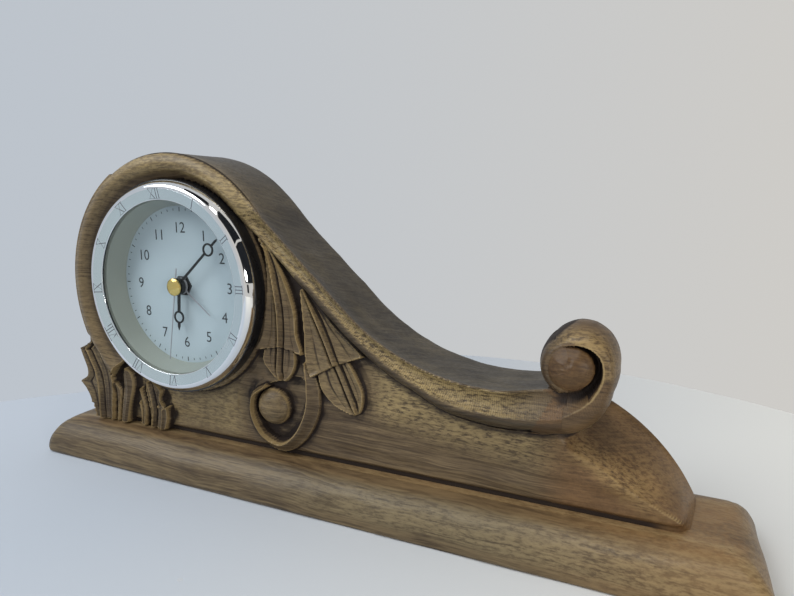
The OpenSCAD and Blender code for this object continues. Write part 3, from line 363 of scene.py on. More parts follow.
def scroll_height(x, z):
    """Stem as a thin ridge with a long rounded outer slope, the domed button, and the sunk ground. Also
    1 on the stem and the button, 0.4 on the ground round them and 0 elsewhere."""
    close = (np.abs(x - SCROLL[0]) < 32) & (np.abs(z - SCROLL[1]) < 32)
    u, v = x[close] - SCROLL[0], z[close] - SCROLL[1]
    step = np.gradient(STEM[:, :2], axis=0)
    side = np.stack([-step[:, 1], step[:, 0]], 1) / np.linalg.norm(step, axis=1)[:, None]
    away = (u[:, None] - STEM[:, 0]) ** 2 + (v[:, None] - STEM[:, 1]) ** 2
    i = np.argmin(away, 1)
    offset = (u - STEM[i, 0]) * side[i, 0] + (v - STEM[i, 1]) * side[i, 1]
    slip = np.sqrt(np.maximum(away[np.arange(len(i)), i] - offset ** 2, 0))
    share = (offset + 0.7) / (STEM[i, 2] + 0.7)
    body = ease(0, 0.14, share) * (1 - 0.62 * ease(0.16, 0.9, share)) * ease(1.04, 0.9, share) * (slip < 1.2)
    bu, bv = x[close] - BUTTON[0], z[close] - BUTTON[1]
    r, middle = np.hypot(bu, bv), np.hypot(u, v)
    dome = 6.2 * np.maximum(1 - (r / BUTTON_R) ** 2, 0) ** 0.42 - 1.7
    dome = dome + 0.12 * waves(bu, 2 * bv, 5, 6) * ease(8, 4, r)
    sunk = middle < np.interp(np.degrees(np.arctan2(v, u)), GROUND_TURN, GROUND_FAR)
    left = ease(-9, -14, u) * ease(24, 17, middle) * ease(16, 8, v)
    ground = np.where(sunk, -2.4, -0.55 - 1.1 * left) + 0.15 * waves(u, v, 7, 5)
    on_button, on_stem = r < BUTTON_R, body > 0.02
    height, shown = np.full(x.shape, -9.0), np.zeros(x.shape)
    height[close] = np.where(on_button, dome, np.where(on_stem, np.maximum(4.5 * body, ground), ground))
    shown[close] = np.where(on_button | on_stem, 1.0, np.where(sunk | (left > 0.05), 0.4, 0))
    return height, shown


RIDGE_TURN = [-141, -116, -99, -84, -65, -44, -26, -2, 14, 30, 47, 63, 91, 120, 160, 203]
RIDGE_FAR = [33.4, 22.4, 18.3, 15.4, 13.2, 11.5, 10.9, 10.5, 10.5, 10.4, 9.9, 9.3, 8.3, 8, 8, 8.4]
REACH_TURN = [-157, -145, -132, -120, -110, -102, -84, -70, -52, -34, -21, 0, 18, 47, 67, 85, 104, 124, 147,
              169, 190, 203]
REACH_FAR = [12.6, 12.4, 12.6, 14.5, 19.5, 27.5, 25.2, 22.6, 19.4, 16.6, 16.0, 15.4, 15.8, 16.6, 16.6, 15.9,
             14.5, 13.2, 12.8, 12.8, 12.8, 12.6]
BALL_R = 12.8


def volute_lines(turn):
    """Distance from the eye to the coil's crest and to its silhouette."""
    return np.interp(turn, RIDGE_TURN, RIDGE_FAR), np.interp(turn, REACH_TURN, REACH_FAR)


def volute_place(x, z):
    """Distance from the eye, and turn round it from -157 to 203 degrees."""
    return far(x, z, EYE), (heading(x, z, EYE) + 157) % 360 - 157


def volute_height(x, z):
    """Domed eye, the dark gap that opens into the hollow, and the coil whose crest winds into the eye.
    Outside the crest the coil falls off as a quarter of an ellipse towards its silhouette. Also the plain
    ball round the eye, and how far out the coil goes."""
    r, turn = volute_place(x, z)
    crest, reach = volute_lines(turn)
    outer = np.where(turn < -102, 27.5 - (turn + 102) * 0.3, reach)
    eye_r = np.interp(turn, [-157, -109, -56, 0, 90, 203], [8.6, 8.3, 7.6, 7.7, 7.8, 8.6])
    eye = 10.3 - 3.9 * np.clip(r / eye_r, 0, 1.2) ** 2.2
    past_eye = r - eye_r
    t = np.clip(past_eye / np.maximum(crest - eye_r, 0.4), 0, 1)
    floor_deep = np.interp(turn, [-157, -120, -70, -40, 0, 60, 95], [3.2, 3.4, 4.2, 5.6, 6.2, 5.4, 2.0])
    gap = (6.4 + 1.1 * t) - floor_deep * np.sin(np.pi * t ** 0.7) ** np.where(turn > -60, 0.55, 1.0)
    s = np.clip((r - crest) / np.maximum(outer - crest, 0.5), 0, 1)
    fullness = np.interp(turn, [-102, -84, -50, -20, 20, 50, 90, 203], [1.9, 1.9, 2.6, 4.2, 3.4, 2.2, 2.0, 1.9])
    drop = np.interp(turn, [-157, -102, -70, -45, -20, 30, 203], [8, 8.4, 8.4, 9, 13, 14, 13])
    coil = 7.6 - drop * quarter(s, fullness)
    plain = 6.4 - drop * quarter(np.clip(past_eye / np.maximum(reach - eye_r, 0.5), 0, 1))
    fall = 13 + 30 * ease(-114, -97, turn) * (turn < 125)
    side = 6.4 - fall * quarter(np.clip(past_eye / (BALL_R - eye_r), 0, 1))
    height, merged, ball = (np.where(r < eye_r, eye, around)
                            for around in (np.where(r < crest, gap, coil), plain, side))
    closed = ease(84, 118, turn)
    return height * (1 - closed) + merged * closed, ball, outer


def with_leaves(x, z, height, sweep):
    """Ground height with the leaves laid over it, not under the sweep. Also how strongly leaves, their
    steep walls, the slanted leaves and the low leaves show."""
    carved, steep, slanted, low = (0 * x for _ in range(4))
    for rows, rise, at, turn, sag in LEAVES:
        leaf, wall = leaf_height(x, z, rows, rise, at, turn, sag)
        taller = (wall > 0.02) & ((leaf > height) | (wall > 0.5))
        height = np.where(taller, np.maximum(leaf, np.where(sweep, height, leaf)), height)
        carved = np.maximum(carved, wall)
        steep = np.where(taller, 4 * wall * (1 - wall), steep)
        low = np.where(taller, 1.0 * (rise < 3), low)
        slanted = np.maximum(slanted, wall * (turn > 0))
    return height, carved, steep, slanted, low


def toe_lean(x, z, in_volute):
    """How far the toe leans back: up to 30 mm from a diagonal ridge to the silhouette, and a rounded
    corner at the tip. Also the distance inwards past the ridge."""
    inside = TOE_R - far(x, z, TOE)
    ridge = np.interp(x, [100, 107, 113, 120, 127, 134, 141, 148], [16, 15.4, 14.8, 14.0, 11.6, 8.0, 3.8, 2.0])
    lean = np.where((x > 96) & ~in_volute, 30.0 * np.clip(1 - inside / ridge, 0, 1) * ease(96, 108, x), 0)
    corner = 9.0 * np.clip((x - 137) / 10.6, 0, 1) ** 2.2
    return np.maximum(lean, np.where(in_volute, 0, corner)), inside - ridge


def front_height(x, z, part="both"):
    """Height of the carved front over the sunk field, its place on the sweep, and how strongly each kind
    of surface shows at each point. Where the volute stands over the sweep, part names the lower sheet, the
    knob above it, or both as they are seen."""
    band, d, k, s = band_height(x, z)
    around = far(x, z, AXIS)
    w, b = hollow_width(k), bevel_width(k)
    in_band = np.where(k > 0, d < (w + b) * 1.02, d < 17.4) & (k < 2.6) & ((k > -1.85) | (z > 88))
    under_sweep = ease(14, 30, x) * ease(110, 78, x) * ease(36, 50, z + 0.12 * (x - 20))
    broad = 0.3 * waves(x * 0.55, z, 13, 3) * ease(20, 27, z)
    gouged = 0.5 * scoops(x * 0.8 + z * 0.6, z * 0.8 - x * 0.34, 4.2, 2.0, 2.6)
    ground = -0.55 + broad * (1 - under_sweep) + (gouged + 0.1) * under_sweep - 1.3 * ease(21.6, 20.2, z)
    height = np.where(in_band, band, np.minimum(ground, 0.6))
    scroll, in_scroll = scroll_height(x, z)
    height = np.where(in_scroll > 0, scroll, height)
    height, leafy, steep, slanted, low_leaf = with_leaves(x, z, height, in_band & (k > 0))
    carved = np.maximum(1.0 * (in_scroll > 0.9), leafy)

    # volute over the end of the sweep
    r, turn = volute_place(x, z)
    reach = volute_lines(turn)[1]
    volute, ball, outer = volute_height(x, z)
    near = ((turn >= 125) | (turn < -97)) & (r < 13.4)
    blend = ease(-126, -103, turn) * (turn < 125)
    in_volute = ((r < outer + 0.4) & (turn > -118) & (turn < 125) & (x > 80)) | (r < 13.4)
    mixed = height * (1 - blend) + volute * blend
    low = np.where((d < 0) | ((turn > 125) & (turn < 192)), -9, mixed)
    if part == "sheet":
        covered = (r < 9.3) | ((r < reach - 1.2) & (turn > -96) & (turn < 125))
        height = np.where(near, low - 0.4 * (ball > low), np.where(in_volute, mixed - 2.5 * covered, height))
    else:
        drop = (0.06 + 1.44 * ease(-103, -105, turn)) * (turn < -97) * (part == "knob")
        height = np.where(near, np.maximum(ball, low - drop), np.where(in_volute, mixed, height) - drop)

    lean, past_ridge = toe_lean(x, z, in_volute)
    toe_cuts = scoops(x * 0.8 + z * 0.5, z * 0.8 - x * 0.4, 13, 5.0, 1.4)
    height = height - lean - 0.9 * (1 - toe_cuts) * ease(0.5, 3, lean)
    seat = np.where(around < 50.9, SEAT_RISE, np.maximum(height, SEAT_RISE - 0.1))
    height = np.where(around < 52.0, seat, height)

    # worn pale wood, stippled wood and reddish wood
    field = ~in_band & ~in_volute & (carved < 0.1)
    on_toe = ease(0, 1.5, lean) * ease(16, 2, lean) * (x > 100)
    above = bell(past_ridge, -0.5, 3.6) * ease(98, 106, x) * ease(143, 122, x)
    hollow = in_band & (d > 0.6) & (d < w) & (k > 0.12)
    crest = in_band & (d > w - 1.5) & (d < w + 3.5) & (k > 0.05) & (k < 0.62)
    gold = sum((
        hollow * ease(2.08, 1.8, k) * ease(12.5, 18, r),
        0.2 * ease(0.5, 4, lean) * (x > 100) * ~in_volute,
        (0.2 + 0.6 * ease(-1.2, -0.4, k)) * (in_band & (k <= 0.12)) * ease(9.6, 7.6, d),
        0.3 * ease(8.6, 7.4, far(x, z, BUTTON)) + 0.3 * slanted + 0.5 * crest,
        field * (0.75 * under_sweep + 0.75 * above + 0.55 * ease(-44, -56, x) * ease(20, 26, z)),
        0.35 * carved * ease(1.0, 0.2, k) * (x > -60),
    ))
    rough = hollow + field * (0.35 * ease(26, 34, z) + 0.65 * under_sweep + 0.3 * above) + 0.25 * carved
    ruddy = 0.7 * in_volute + 0.8 * field * ease(86, 104, x) + 0.4 * on_toe
    # The steep value is the leaf walls and the low leaves, which the case darkens as painted shade.
    return {"height": height, "d": d, "k": k, "s": s, "carved": carved, "in_band": in_band,
            "gold": np.clip(gold, 0, 1), "rough": np.clip(rough, 0, 1), "ruddy": np.clip(ruddy, 0, 1),
            "hollow": hollow, "steep": steep + 0.55 * low_leaf}


def inside_board(x, z):
    """Signed distance to the case's outline in the plane of the front, positive inside the wood: the
    largest of the distances into head, body, left side, toe, neck and outermost leaf, cut by the plinth
    and the bore."""
    d = sweep_place(x, z)[0]
    head = HEAD_R - far(x, z, HEAD)
    body = np.minimum.reduce([d, 101 - x, x - HEAD[0]])
    run = LEFT_TOP - LEFT_FOOT
    side = ((x - LEFT_FOOT[0]) * run[1] - (z - LEFT_FOOT[1]) * run[0]) / np.linalg.norm(run)
    left = np.minimum(80 - z, 20 - x)
    left = np.where(x > HEAD[0], left, np.minimum(left, side))
    toe = np.minimum(TOE_R - far(x, z, TOE), x - 60)
    neck = np.minimum.reduce([NECK_R - far(x, z, NECK), z - 45, np.maximum(11.6 - far(x, z, EYE), d)])
    rows = leaf_lines(LEAVES[-1][0])
    v = FOOT[1] - z
    leaf_left, leaf_right = (FOOT[0] + np.interp(v, rows[:, 0], rows[:, i]) for i in (1, 3))
    leaf = np.minimum.reduce([x - leaf_left, leaf_right - x, v - rows[0, 0], 60 - z])
    wood = np.maximum.reduce([head, body, left, toe, neck, leaf])
    return np.minimum.reduce([wood, z - PLINTH[2], far(x, z, AXIS) - BORE_R])


def turned_in(x, z, reach):
    """How much the surface round a point stands over it: the mean height of eight points on a ring of
    the given radius less its own height, high in recesses and negative on crests."""
    here = front_height(x, z)["height"]
    ring = sum(np.clip(front_height(x + reach * c, z + reach * s)["height"], here - 4, here + 4)
               for c, s in (unit(a) for a in range(0, 360, 45))) / 8
    return ring - here


def spaced(*parts):
    """Numbers from start to stop in steps, part after part, and the last stop."""
    return np.concatenate([np.linspace(a, b, int(round((b - a) / step)), endpoint=False)
                           for a, b, step in parts] + [[parts[-1][1]]])


def front_cells():
    """Grid over the front that is finest on the leaves: the places of its points, the cells whose middle
    lies in the outline, and the edges that only one cell has."""
    xs = spaced((-156, -92, 0.5), (-92, -52, 0.9), (-52, 26, 0.41), (26, 150, 0.85))
    zs = spaced((PLINTH[2] - 0.3, 62, 0.48), (62, 116, 0.52), (116, 158.5, 0.85))
    x, z = (grid.ravel() for grid in np.meshgrid(xs, zs, indexing="ij"))
    middles = np.meshgrid((xs[1:] + xs[:-1]) / 2, (zs[1:] + zs[:-1]) / 2, indexing="ij")
    cells = grid_faces(len(xs), len(zs))[inside_board(*middles).ravel() > 0]
    used, index = np.unique(cells, return_inverse=True)
    quads = index.reshape(-1, 4)
    edges = np.concatenate([quads[:, [i, (i + 1) % 4]] for i in range(4)])
    code = edges[:, 0] * len(used) + edges[:, 1]
    back_code = edges[:, 1] * len(used) + edges[:, 0]
    return x[used], z[used], quads, edges[~np.isin(code, back_code)]


def drawn_onto_outline(x, z):
    """Points moved along the gradient of the distance until they lie on the outline, and the unit vector
    that points out of the wood there."""
    for _ in range(5):
        g = inside_board(x, z)
        gx = (inside_board(x + 0.05, z) - inside_board(x - 0.05, z)) / 0.1
        gz = (inside_board(x, z + 0.05) - inside_board(x, z - 0.05)) / 0.1
        n = np.maximum(gx ** 2 + gz ** 2, 0.3)
        x, z = x - np.clip(g * gx / n, -0.7, 0.7), z - np.clip(g * gz / n, -0.7, 0.7)
    z = np.minimum(z, HEAD[1] + HEAD_R - 0.005)
    length = np.maximum(np.hypot(gx, gz), 0.3)
    return x, z, -gx / length, -gz / length


def case_wall(rim_x, rim_z, out_x, out_z, rim_y):
    """Rows of points from the rim to the back. Under the rim the wall is drawn in by gouge cuts and
    rounded at the back edge; in the bore and on the plinth it is straight. Also its marks."""
    t = np.concatenate([[0.012, 0.035], np.linspace(0.07, 0.93, 10), [0.965, 0.99, 1.0]])[:, None]
    y = rim_y + (BACK_Y - rim_y) * t
    deep, left = y - rim_y, BACK_Y - y
    flat = (far(rim_x, rim_z, AXIS) < BORE_R + 1) | (rim_z < PLINTH[2] + 0.4)
    _, k, path = sweep_place(rim_x, rim_z)
    cuts = scoops(path, y, 8.5, 4.0, 1.2)
    headed = ease(0.35, 0.05, k)
    inset = -1.2 * ease(0.6, 4.5, deep) * (1 - headed)
    inset = inset - (0.45 - 0.25 * headed) * (1 - cuts) * ease(0, 3, deep)
    inset = inset - 1.1 * np.clip(1 - left / 1.6, 0, 1) ** 2
    inset = np.where(flat, -0.35 * np.clip(1 - left / 0.6, 0, 1) ** 2, inset)
    inset = inset * np.minimum(1, (BACK_Y - rim_y) / 12)
    x, z = rim_x + out_x * inset, np.maximum(rim_z + out_z * inset, PLINTH[2])
    near_edge = np.exp(-deep / 1.3) * 0.9 + 0.7 * np.exp(-left / 1.2)
    slow = ease(-0.2, 0.9, waves(path, 1.7 * y, 46, 31)) * 0.35
    on_head = headed * np.exp(-deep / 7.0) * ease(-1.5, -0.6, k)
    at_toe = ease(86, 104, rim_x)
    return np.stack([x, y, z], -1), {
        # Crest lines: the rim edges are lightened, part wear and part painted highlight.
        "crease": -0.35 * near_edge * ~flat + 0.1 * (0.4 - cuts),
        # Painted shade: the bore, the plinth rim and the foot by the plinth are darkened.
        "painted_shade": (0.5 * flat + 1.4 * ease(20.4, 19.6, z)) * (1 - 0.75 * ease(128, 137, x)),
        "stroke": path, "rough": 0.1, "gold": np.clip(0.3 * on_head + 0.25 * slow, 0, 1),
        "ruddy": at_toe * 0.7, "grey": (1 - 0.4 * on_head) * (1 - 0.45 * at_toe) * ease(0.0, 2.0, deep),
    }


def carved_case(material):
    """Front of the case as a height over a grid. Its rim is drawn onto the outline, and a wall is carried
    from the rim to the back, where one flat face closes the solid round the bore."""
    x, z, quads, rim = front_cells()
    on_rim = np.unique(rim)
    x[on_rim], z[on_rim], out_x, out_z = drawn_onto_outline(x[on_rim], z[on_rim])

    # on the leaves the carving is read a little inside the outline, so that their edge stays whole
    g = inside_board(x, z)
    gx, gz = inside_board(x + 0.1, z) - g, inside_board(x, z + 0.1) - g
    inward = np.clip(1.0 - g, 0, 1) * (x < -118) / np.maximum(np.hypot(gx, gz), 0.03)
    ex, ez = x + gx * inward, z + gz * inward * (z > PLINTH[2] + 1)
    front = front_height(ex, ez, "sheet")
    height, d, k, carved, in_band, hollow = (
        front[key] for key in ("height", "d", "k", "carved", "in_band", "hollow"))
    y = np.minimum(FIELD_Y - height, BACK_Y - 0.6)

    r, turn = volute_place(ex, ez)
    calm = np.where((x > 96) & (r > volute_lines(turn)[1] + 3), 1 - 0.95 * ease(-1.0, -3.0, height), 1)
    fine, broad = turned_in(ex, ez, 0.8) * 1.15 * calm, turned_in(ex, ez, 4.2) * calm
    fine = fine * ~((far(x, z, AXIS) < 54) & (fine < 0))
    fine = fine * np.where(fine < 0, 0.25 + 0.75 * ease(0.4, 1.8, inside_board(x, z)), 1)
    bevel = in_band & (d > hollow_width(k) + 1.2)
    leaf_cluster = carved * (x < -92)
    marks = {
        # The crease mark darkens recesses as painted shade and lightens crests, part wear and part painted
        # highlight.
        "crease": fine,
        # Painted shade: broad recesses, the foot of the case, the lower bevel, steep leaf walls, low leaves and
        # the leaf cluster are darkened.
        "painted_shade": broad * (1 - 0.8 * hollow * ease(13, 18, r))
        + 1.5 * ease(20.5, 19.7, z) * ~in_band * (1 - 0.75 * ease(128, 137, x))
        + 0.9 * (bevel & (k > 0.5)) + 0.65 * front["steep"] + 0.45 * leaf_cluster,
        "stroke": np.where(carved > 0.5, z - 0.15 * x, front["s"]),
        "rough": front["rough"], "gold": front["gold"], "ruddy": front["ruddy"],
        "grey": 0.35 * leaf_cluster
        + (0.3 + 0.4 * ease(0.3, 0.6, k) * bevel) * (in_band & (k > 0) & ~hollow),
        "hatch": np.maximum(hollow, 0.3 * carved),
    }
    wall, wall_marks = case_wall(x[on_rim], z[on_rim], out_x, out_z, y[on_rim])
    base, n = len(x), len(on_rim)
    a, b = np.searchsorted(on_rim, rim).T
    first_strip = np.stack([rim[:, 1], rim[:, 0], base + a, base + b], 1)
    rows = np.arange(len(wall) - 1)[:, None, None]
    strips = (base + rows * n + np.stack([b, a, n + a, n + b], 1)).reshape(-1, 4)
    points = np.vstack([np.stack([x, y, z], 1), wall.reshape(-1, 3)])
    piece = mesh_piece("carved_case", points, [quads, first_strip, strips], material,
                       marks=joined_marks((marks, x.shape), (wall_marks, wall.shape[:2])))
    sealed(piece, 50, 0, OPEN_ENDS)
    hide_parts("case")


KNOB_REAR, REAR_SHIFT = 6.5, (1.6, 2.6)


def volute_knob(material):
    """Closed surface round the eye's axis. At each turn the front runs from the eye's middle out to the
    silhouette at the carved height, and the side runs back as part of an ellipse to the knob's rear."""
    turns, front_rows, back_rows = 300, 63, 25
    turn = np.linspace(-157, 203, turns, endpoint=False)
    crest, reach = volute_lines(turn)
    c, s = np.cos(np.radians(turn)), np.sin(np.radians(turn))
    share = np.linspace(0, 1, front_rows + 1)[1:, None] ** 0.92
    r = reach * share
    x, z = EYE[0] + r * c, EYE[1] + r * s
    place = front_height(x, z, "knob")
    cuts = scoops(np.radians(turn) * 9, r, 5.6, 9.0)
    plain = ease(60, 100, turn) * ease(230, 190, turn)
    y = FIELD_Y - (place["height"] - 0.75 * (1 - cuts) * (0.25 + plain * 0.75) * ease(1.0, 3.0, r))

    t = np.linspace(0, 1, back_rows + 2)[1:-1, None]
    back_y = y[-1] + (KNOB_REAR - y[-1]) * t
    side_cuts = scoops(np.radians(turn) * 12, back_y, 5.5, 3.0)
    back_r = reach * (1 - t ** 2.3) ** 0.5 * (1 - 0.33 * np.sin(np.pi * np.minimum(t * 1.15, 1)) ** 1.2)
    back_r = back_r * (1 - 0.045 * (1 - side_cuts) * np.minimum(t * 4, 1))
    back_x, back_z = EYE[0] + t * REAR_SHIFT[0] + back_r * c, EYE[1] + t * REAR_SHIFT[1] + back_r * s
    body = np.concatenate([np.stack([x, y, z], -1), np.stack([back_x, back_y, back_z], -1)]).reshape(-1, 3)
    points = np.vstack([body, (EYE[0], y[0].mean() - 0.02, EYE[1]),
                        (EYE[0] + REAR_SHIFT[0], KNOB_REAR, EYE[1] + REAR_SHIFT[1])])
    rows = front_rows + back_rows
    k = np.arange(turns)
    n, last_row = (k + 1) % turns, (rows - 1) * turns
    caps = np.concatenate([np.stack([0 * k + rows * turns, k, n], 1),
                           np.stack([0 * k + rows * turns + 1, last_row + n, last_row + k], 1)])

    eye, hollow = r < 8.2, place["hollow"]
    eye_rim = (r > 6.4) & (r < np.interp(turn, [-157, 84, 118, 203], [9.4, 9.0, 10.5, 10.5]))
    coil_gold = ((0.55 + 0.6 * ease(25, 60, turn)) * ease(-60, -20, turn) * ease(170, 70, turn)
                 * ease(0.0, 0.2, r - crest + 0.3) * ease(7.5, 2.0, r - crest))
    front = {
        # The crease mark darkens recesses as painted shade and lightens crests, part wear and part painted
        # highlight; the eye's rim is spared.
        "crease": turned_in(x, z, 0.9) * np.where(eye_rim, 0.15, 1) * ease(0.0, 2.4, reach - r)
        - 0.1 * (1 - eye) + 0.2 * (0.45 - cuts) * plain,
        # Painted shade: broad recesses round the knob are darkened.
        "painted_shade": turned_in(x, z, 3.2), "stroke": place["s"], "rough": 0.25 + 0.5 * (coil_gold > 0.3),
        "gold": np.where(hollow, place["gold"], np.clip(np.where(r < 9.5, 0.16, coil_gold), 0, 1)),
        "ruddy": np.where(eye, 1.0, 0.45),
        # Painted shade: the last term greys the knob's left side towards its silhouette.
        "grey": np.where(eye, 0.18, 0.15 * (1 - coil_gold))
        + 0.55 * ease(3.0, -9.0, x - EYE[0]) * ease(0.4, 0.95, share),
        "hatch": hollow,
    }
    up = ease(-0.3, 0.8, s) * (1 - t) ** 1.5
    back = {"crease": 0.18 * (0.5 - side_cuts), "gold": 0.35 * up, "ruddy": 0.4, "grey": 0.8 - 0.5 * up,
            "rough": 0.15}
    piece = mesh_piece("volute_knob", points, [grid_faces(rows, turns, False, True), caps], material,
                       marks=joined_marks((front, r.shape), (back, back_r.shape), ({}, (2,))))
    sealed(piece, 180)
    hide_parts("case")


FOOT_ROUND, MOULDING_IN, MOULDING_IN_ENDS = 2.0, 14, 13


def moulded_plinth(material):
    """Plinth as rings round a rounded rectangle: at each level the ring is drawn in by the moulding's
    quarter-ellipse, with the hand-worked unevenness of slow waves and shallow cuts."""
    top = PLINTH[2]
    level = np.linspace(0, 1, 34)
    foot = np.linspace(0, np.pi / 2, 6)[:-1][::-1]
    inset = np.concatenate([FOOT_ROUND - FOOT_ROUND * np.cos(foot), MOULDING_IN * quarter(level)])[:, None]
    z = np.concatenate([FOOT_ROUND - FOOT_ROUND * np.sin(foot), FOOT_ROUND + (top - FOOT_ROUND) * level])
    z = z[:, None]
    corners = np.array([(1, -1), (1, 1), (-1, 1), (-1, -1)], float)
    counts = (90, 420, 90, 420)
    spread = np.concatenate([np.linspace(0, 1, n, endpoint=False) for n in counts])[:, None]
    side = np.repeat(np.arange(4), counts)
    ring = corners[side] + (corners[(side + 1) % 4] - corners[side]) * spread
    at_end, at_long = side % 2 == 0, side % 2 == 1
    hx, hy = PLINTH[0] / 2 - inset * MOULDING_IN_ENDS / MOULDING_IN, PLINTH[1] / 2 - inset
    x, y = ring[:, 0] * hx, ring[:, 1] * hy

    # corners rounded by pulling the ring onto a circle at each corner
    soft = 3.2 + 2.0 * (z / top)
    cx, cy = np.abs(x) - (hx - soft), np.abs(y) - (hy - soft)
    out = np.hypot(np.maximum(cx, 0), np.maximum(cy, 0))
    pull = np.where((cx > 0) & (cy > 0) & (out > soft), soft / np.maximum(out, 0.01), 1)
    x = np.where(pull < 1, np.sign(x) * (hx - soft + cx * pull), x)
    y = np.where(pull < 1, np.sign(y) * (hy - soft + cy * pull), y)

    along = np.where(at_long, x, y + 400)
    arc = np.vstack([[0], np.cumsum(np.hypot(np.diff(inset, axis=0), np.diff(z, axis=0)), axis=0)])
    cuts = scoops(along, arc, 6.5, 12.0, 4.2)
    uneven = 0.35 * waves(0.45 * along, arc, 22, 21) - 0.3 * (1 - cuts)
    uneven = np.minimum(uneven, 0) * ease(0, 3, arc)
    x = x + uneven * np.where(np.abs(x) > hx - 6, np.sign(x), 0) * at_end
    y = y + uneven * np.sign(y) * at_long
    height = np.clip(z + uneven * 0.25 * ease(6, 16, arc), 0, top)
    height[0], height[-1] = 0, top
    corner = np.exp(-((np.abs(x) - hx) ** 2 + (np.abs(y) - hy) ** 2) / 30)
    right = ease(70, 150, x)
    # Painted glints: mid, the middle of the front moulding, is made paler, greyer and flecked where the
    # window's reflection falls on the waxed wood.
    mid = ease(-60, 40, x) * ease(170, 110, x) * ease(3, 7, height) * ease(18, 14, height)
    marks = {
        # Crest lines: the corners and the top edge are lightened, part wear and part painted highlight.
        "crease": -0.3 * corner * ease(9, 16, height) - 0.2 * bell(height, top, 0.8) + 0.16 * (0.4 - cuts),
        # Painted shade: the plinth is darkened towards its foot.
        "painted_shade": 0.5 * ease(2.2, 0.4, height), "stroke": along,
        "ruddy": 0.8 * right + 0.35 * ease(16.5, 18, height),
        "gold": np.clip(0.4 * right + 0.3 * corner + 0.25 * mid, 0, 1), "rough": 0.4 * mid, "grey": 0.35 * mid,
    }
    points = np.stack([x, y, height], -1).reshape(-1, 3)
    piece = mesh_piece("moulded_plinth", points, [grid_faces(len(z), len(side), False, True)], material,
                       marks=joined_marks((marks, x.shape)))
    sealed(piece, 40, 0, OPEN_ENDS)
    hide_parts("plinth")


# Materials

class Value:
    """A socket in a node tree. Arithmetic on it adds Math nodes."""

    def __init__(self, nodes, socket):
        self.nodes, self.socket = nodes, socket

    def math(self, operation, *values):
        return self.nodes.add("ShaderNodeMath", {"operation": operation}, dict(enumerate(values)))

    def __add__(self, other):
        return self.math("ADD", self, other)

    def __sub__(self, other):
        return self.math("SUBTRACT", self, other)

    def __rsub__(self, other):
        return self.math("SUBTRACT", other, self)

    def __mul__(self, other):
        return self.math("MULTIPLY", self, other)

    __radd__, __rmul__ = __add__, __mul__

    def least(self, other):
        return self.math("MINIMUM", self, other)

    def most(self, other):
        return self.math("MAXIMUM", self, other)

    def sine(self):
        return self.math("SINE", self)

    def step(self, low, high):
        """Smooth step from 0 at low to 1 at high."""
        return self.nodes.add("ShaderNodeMapRange", {"interpolation_type": "SMOOTHSTEP"},
                              {"Value": self, "From Min": low, "From Max": high})


class Nodes:
    """Node tree of a material or of the world. Its add makes every node."""

    def __init__(self, tree):
        self.tree = tree

    def add(self, kind, settings=None, values=None, output=0):
        node = self.tree.nodes.new(kind)
        for key, value in (settings or {}).items():
            setattr(node, key, value)
        for key, value in (values or {}).items():
            if isinstance(value, Value):
                self.tree.links.new(value.socket, node.inputs[key])
            else:
                node.inputs[key].default_value = value
        return Value(self, node.outputs[output])

    def parts(self, vector):
        """X, Y and Z of a vector."""
        node = self.add("ShaderNodeSeparateXYZ", {}, {"Vector": vector}).socket.node
        return [Value(self, socket) for socket in node.outputs]

    def object_place(self):
        return self.add("ShaderNodeTexCoord", output="Object")

    def noise(self, vector, detail=3.0, roughness=0.55):
        return self.add("ShaderNodeTexNoise", {}, {"Vector": vector, "Scale": 1.0, "Detail": detail,
                                                   "Roughness": roughness})

    def grain(self, scale, detail=3.0, roughness=0.55):
        """Noise with a scale, per metre, for each axis."""
        vector = self.add("ShaderNodeMapping", {}, {"Vector": self.object_place(), "Scale": scale})
        return self.noise(vector, detail, roughness)

    def mix(self, share, first, second, mode="MIX"):
        """Mix of two colours."""
        return self.add("ShaderNodeMix", {"data_type": "RGBA", "blend_type": mode},
                        {0: share, 6: first, 7: second}, output=2)

    def show(self, share, first, second):
        """Mix of two shaders as the tree's own look."""
        mixed = self.add("ShaderNodeMixShader", {}, {0: share, 1: first, 2: second})
        output = next(node for node in self.tree.nodes if node.type.startswith("OUTPUT"))
        self.tree.links.new(mixed.socket, output.inputs[0])


class Finish(Nodes):
    """A material with one Principled shader. Constants are set on its sockets."""

    def __init__(self, name, **constants):
        self.material = bpy.data.materials.new(name)
        self.material.use_nodes = True
        self.material.diffuse_color = (0.5, 0.5, 0.5, 1)
        super().__init__(self.material.node_tree)
        self.shader = self.tree.nodes["Principled BSDF"]
        for key, value in constants.items():
            self.shader.inputs[key.replace("_", " ")].default_value = value

    def attribute(self, name):
        return self.add("ShaderNodeAttribute", {"attribute_name": name}, output=2)

    def bump(self, height, distance, strength):
        return self.add("ShaderNodeBump", {}, {"Height": height, "Distance": distance, "Strength": strength})

    def feed(self, **links):
        """Links values to the shader's sockets."""
        for key, value in links.items():
            self.tree.links.new(value.socket, self.shader.inputs[key.replace("_", " ")])
        return self.material


def tint(colour, by=1.0):
    """Colour times a number, or times one for each of its parts, as a socket takes it."""
    return (*np.multiply(colour, by), 1.0)


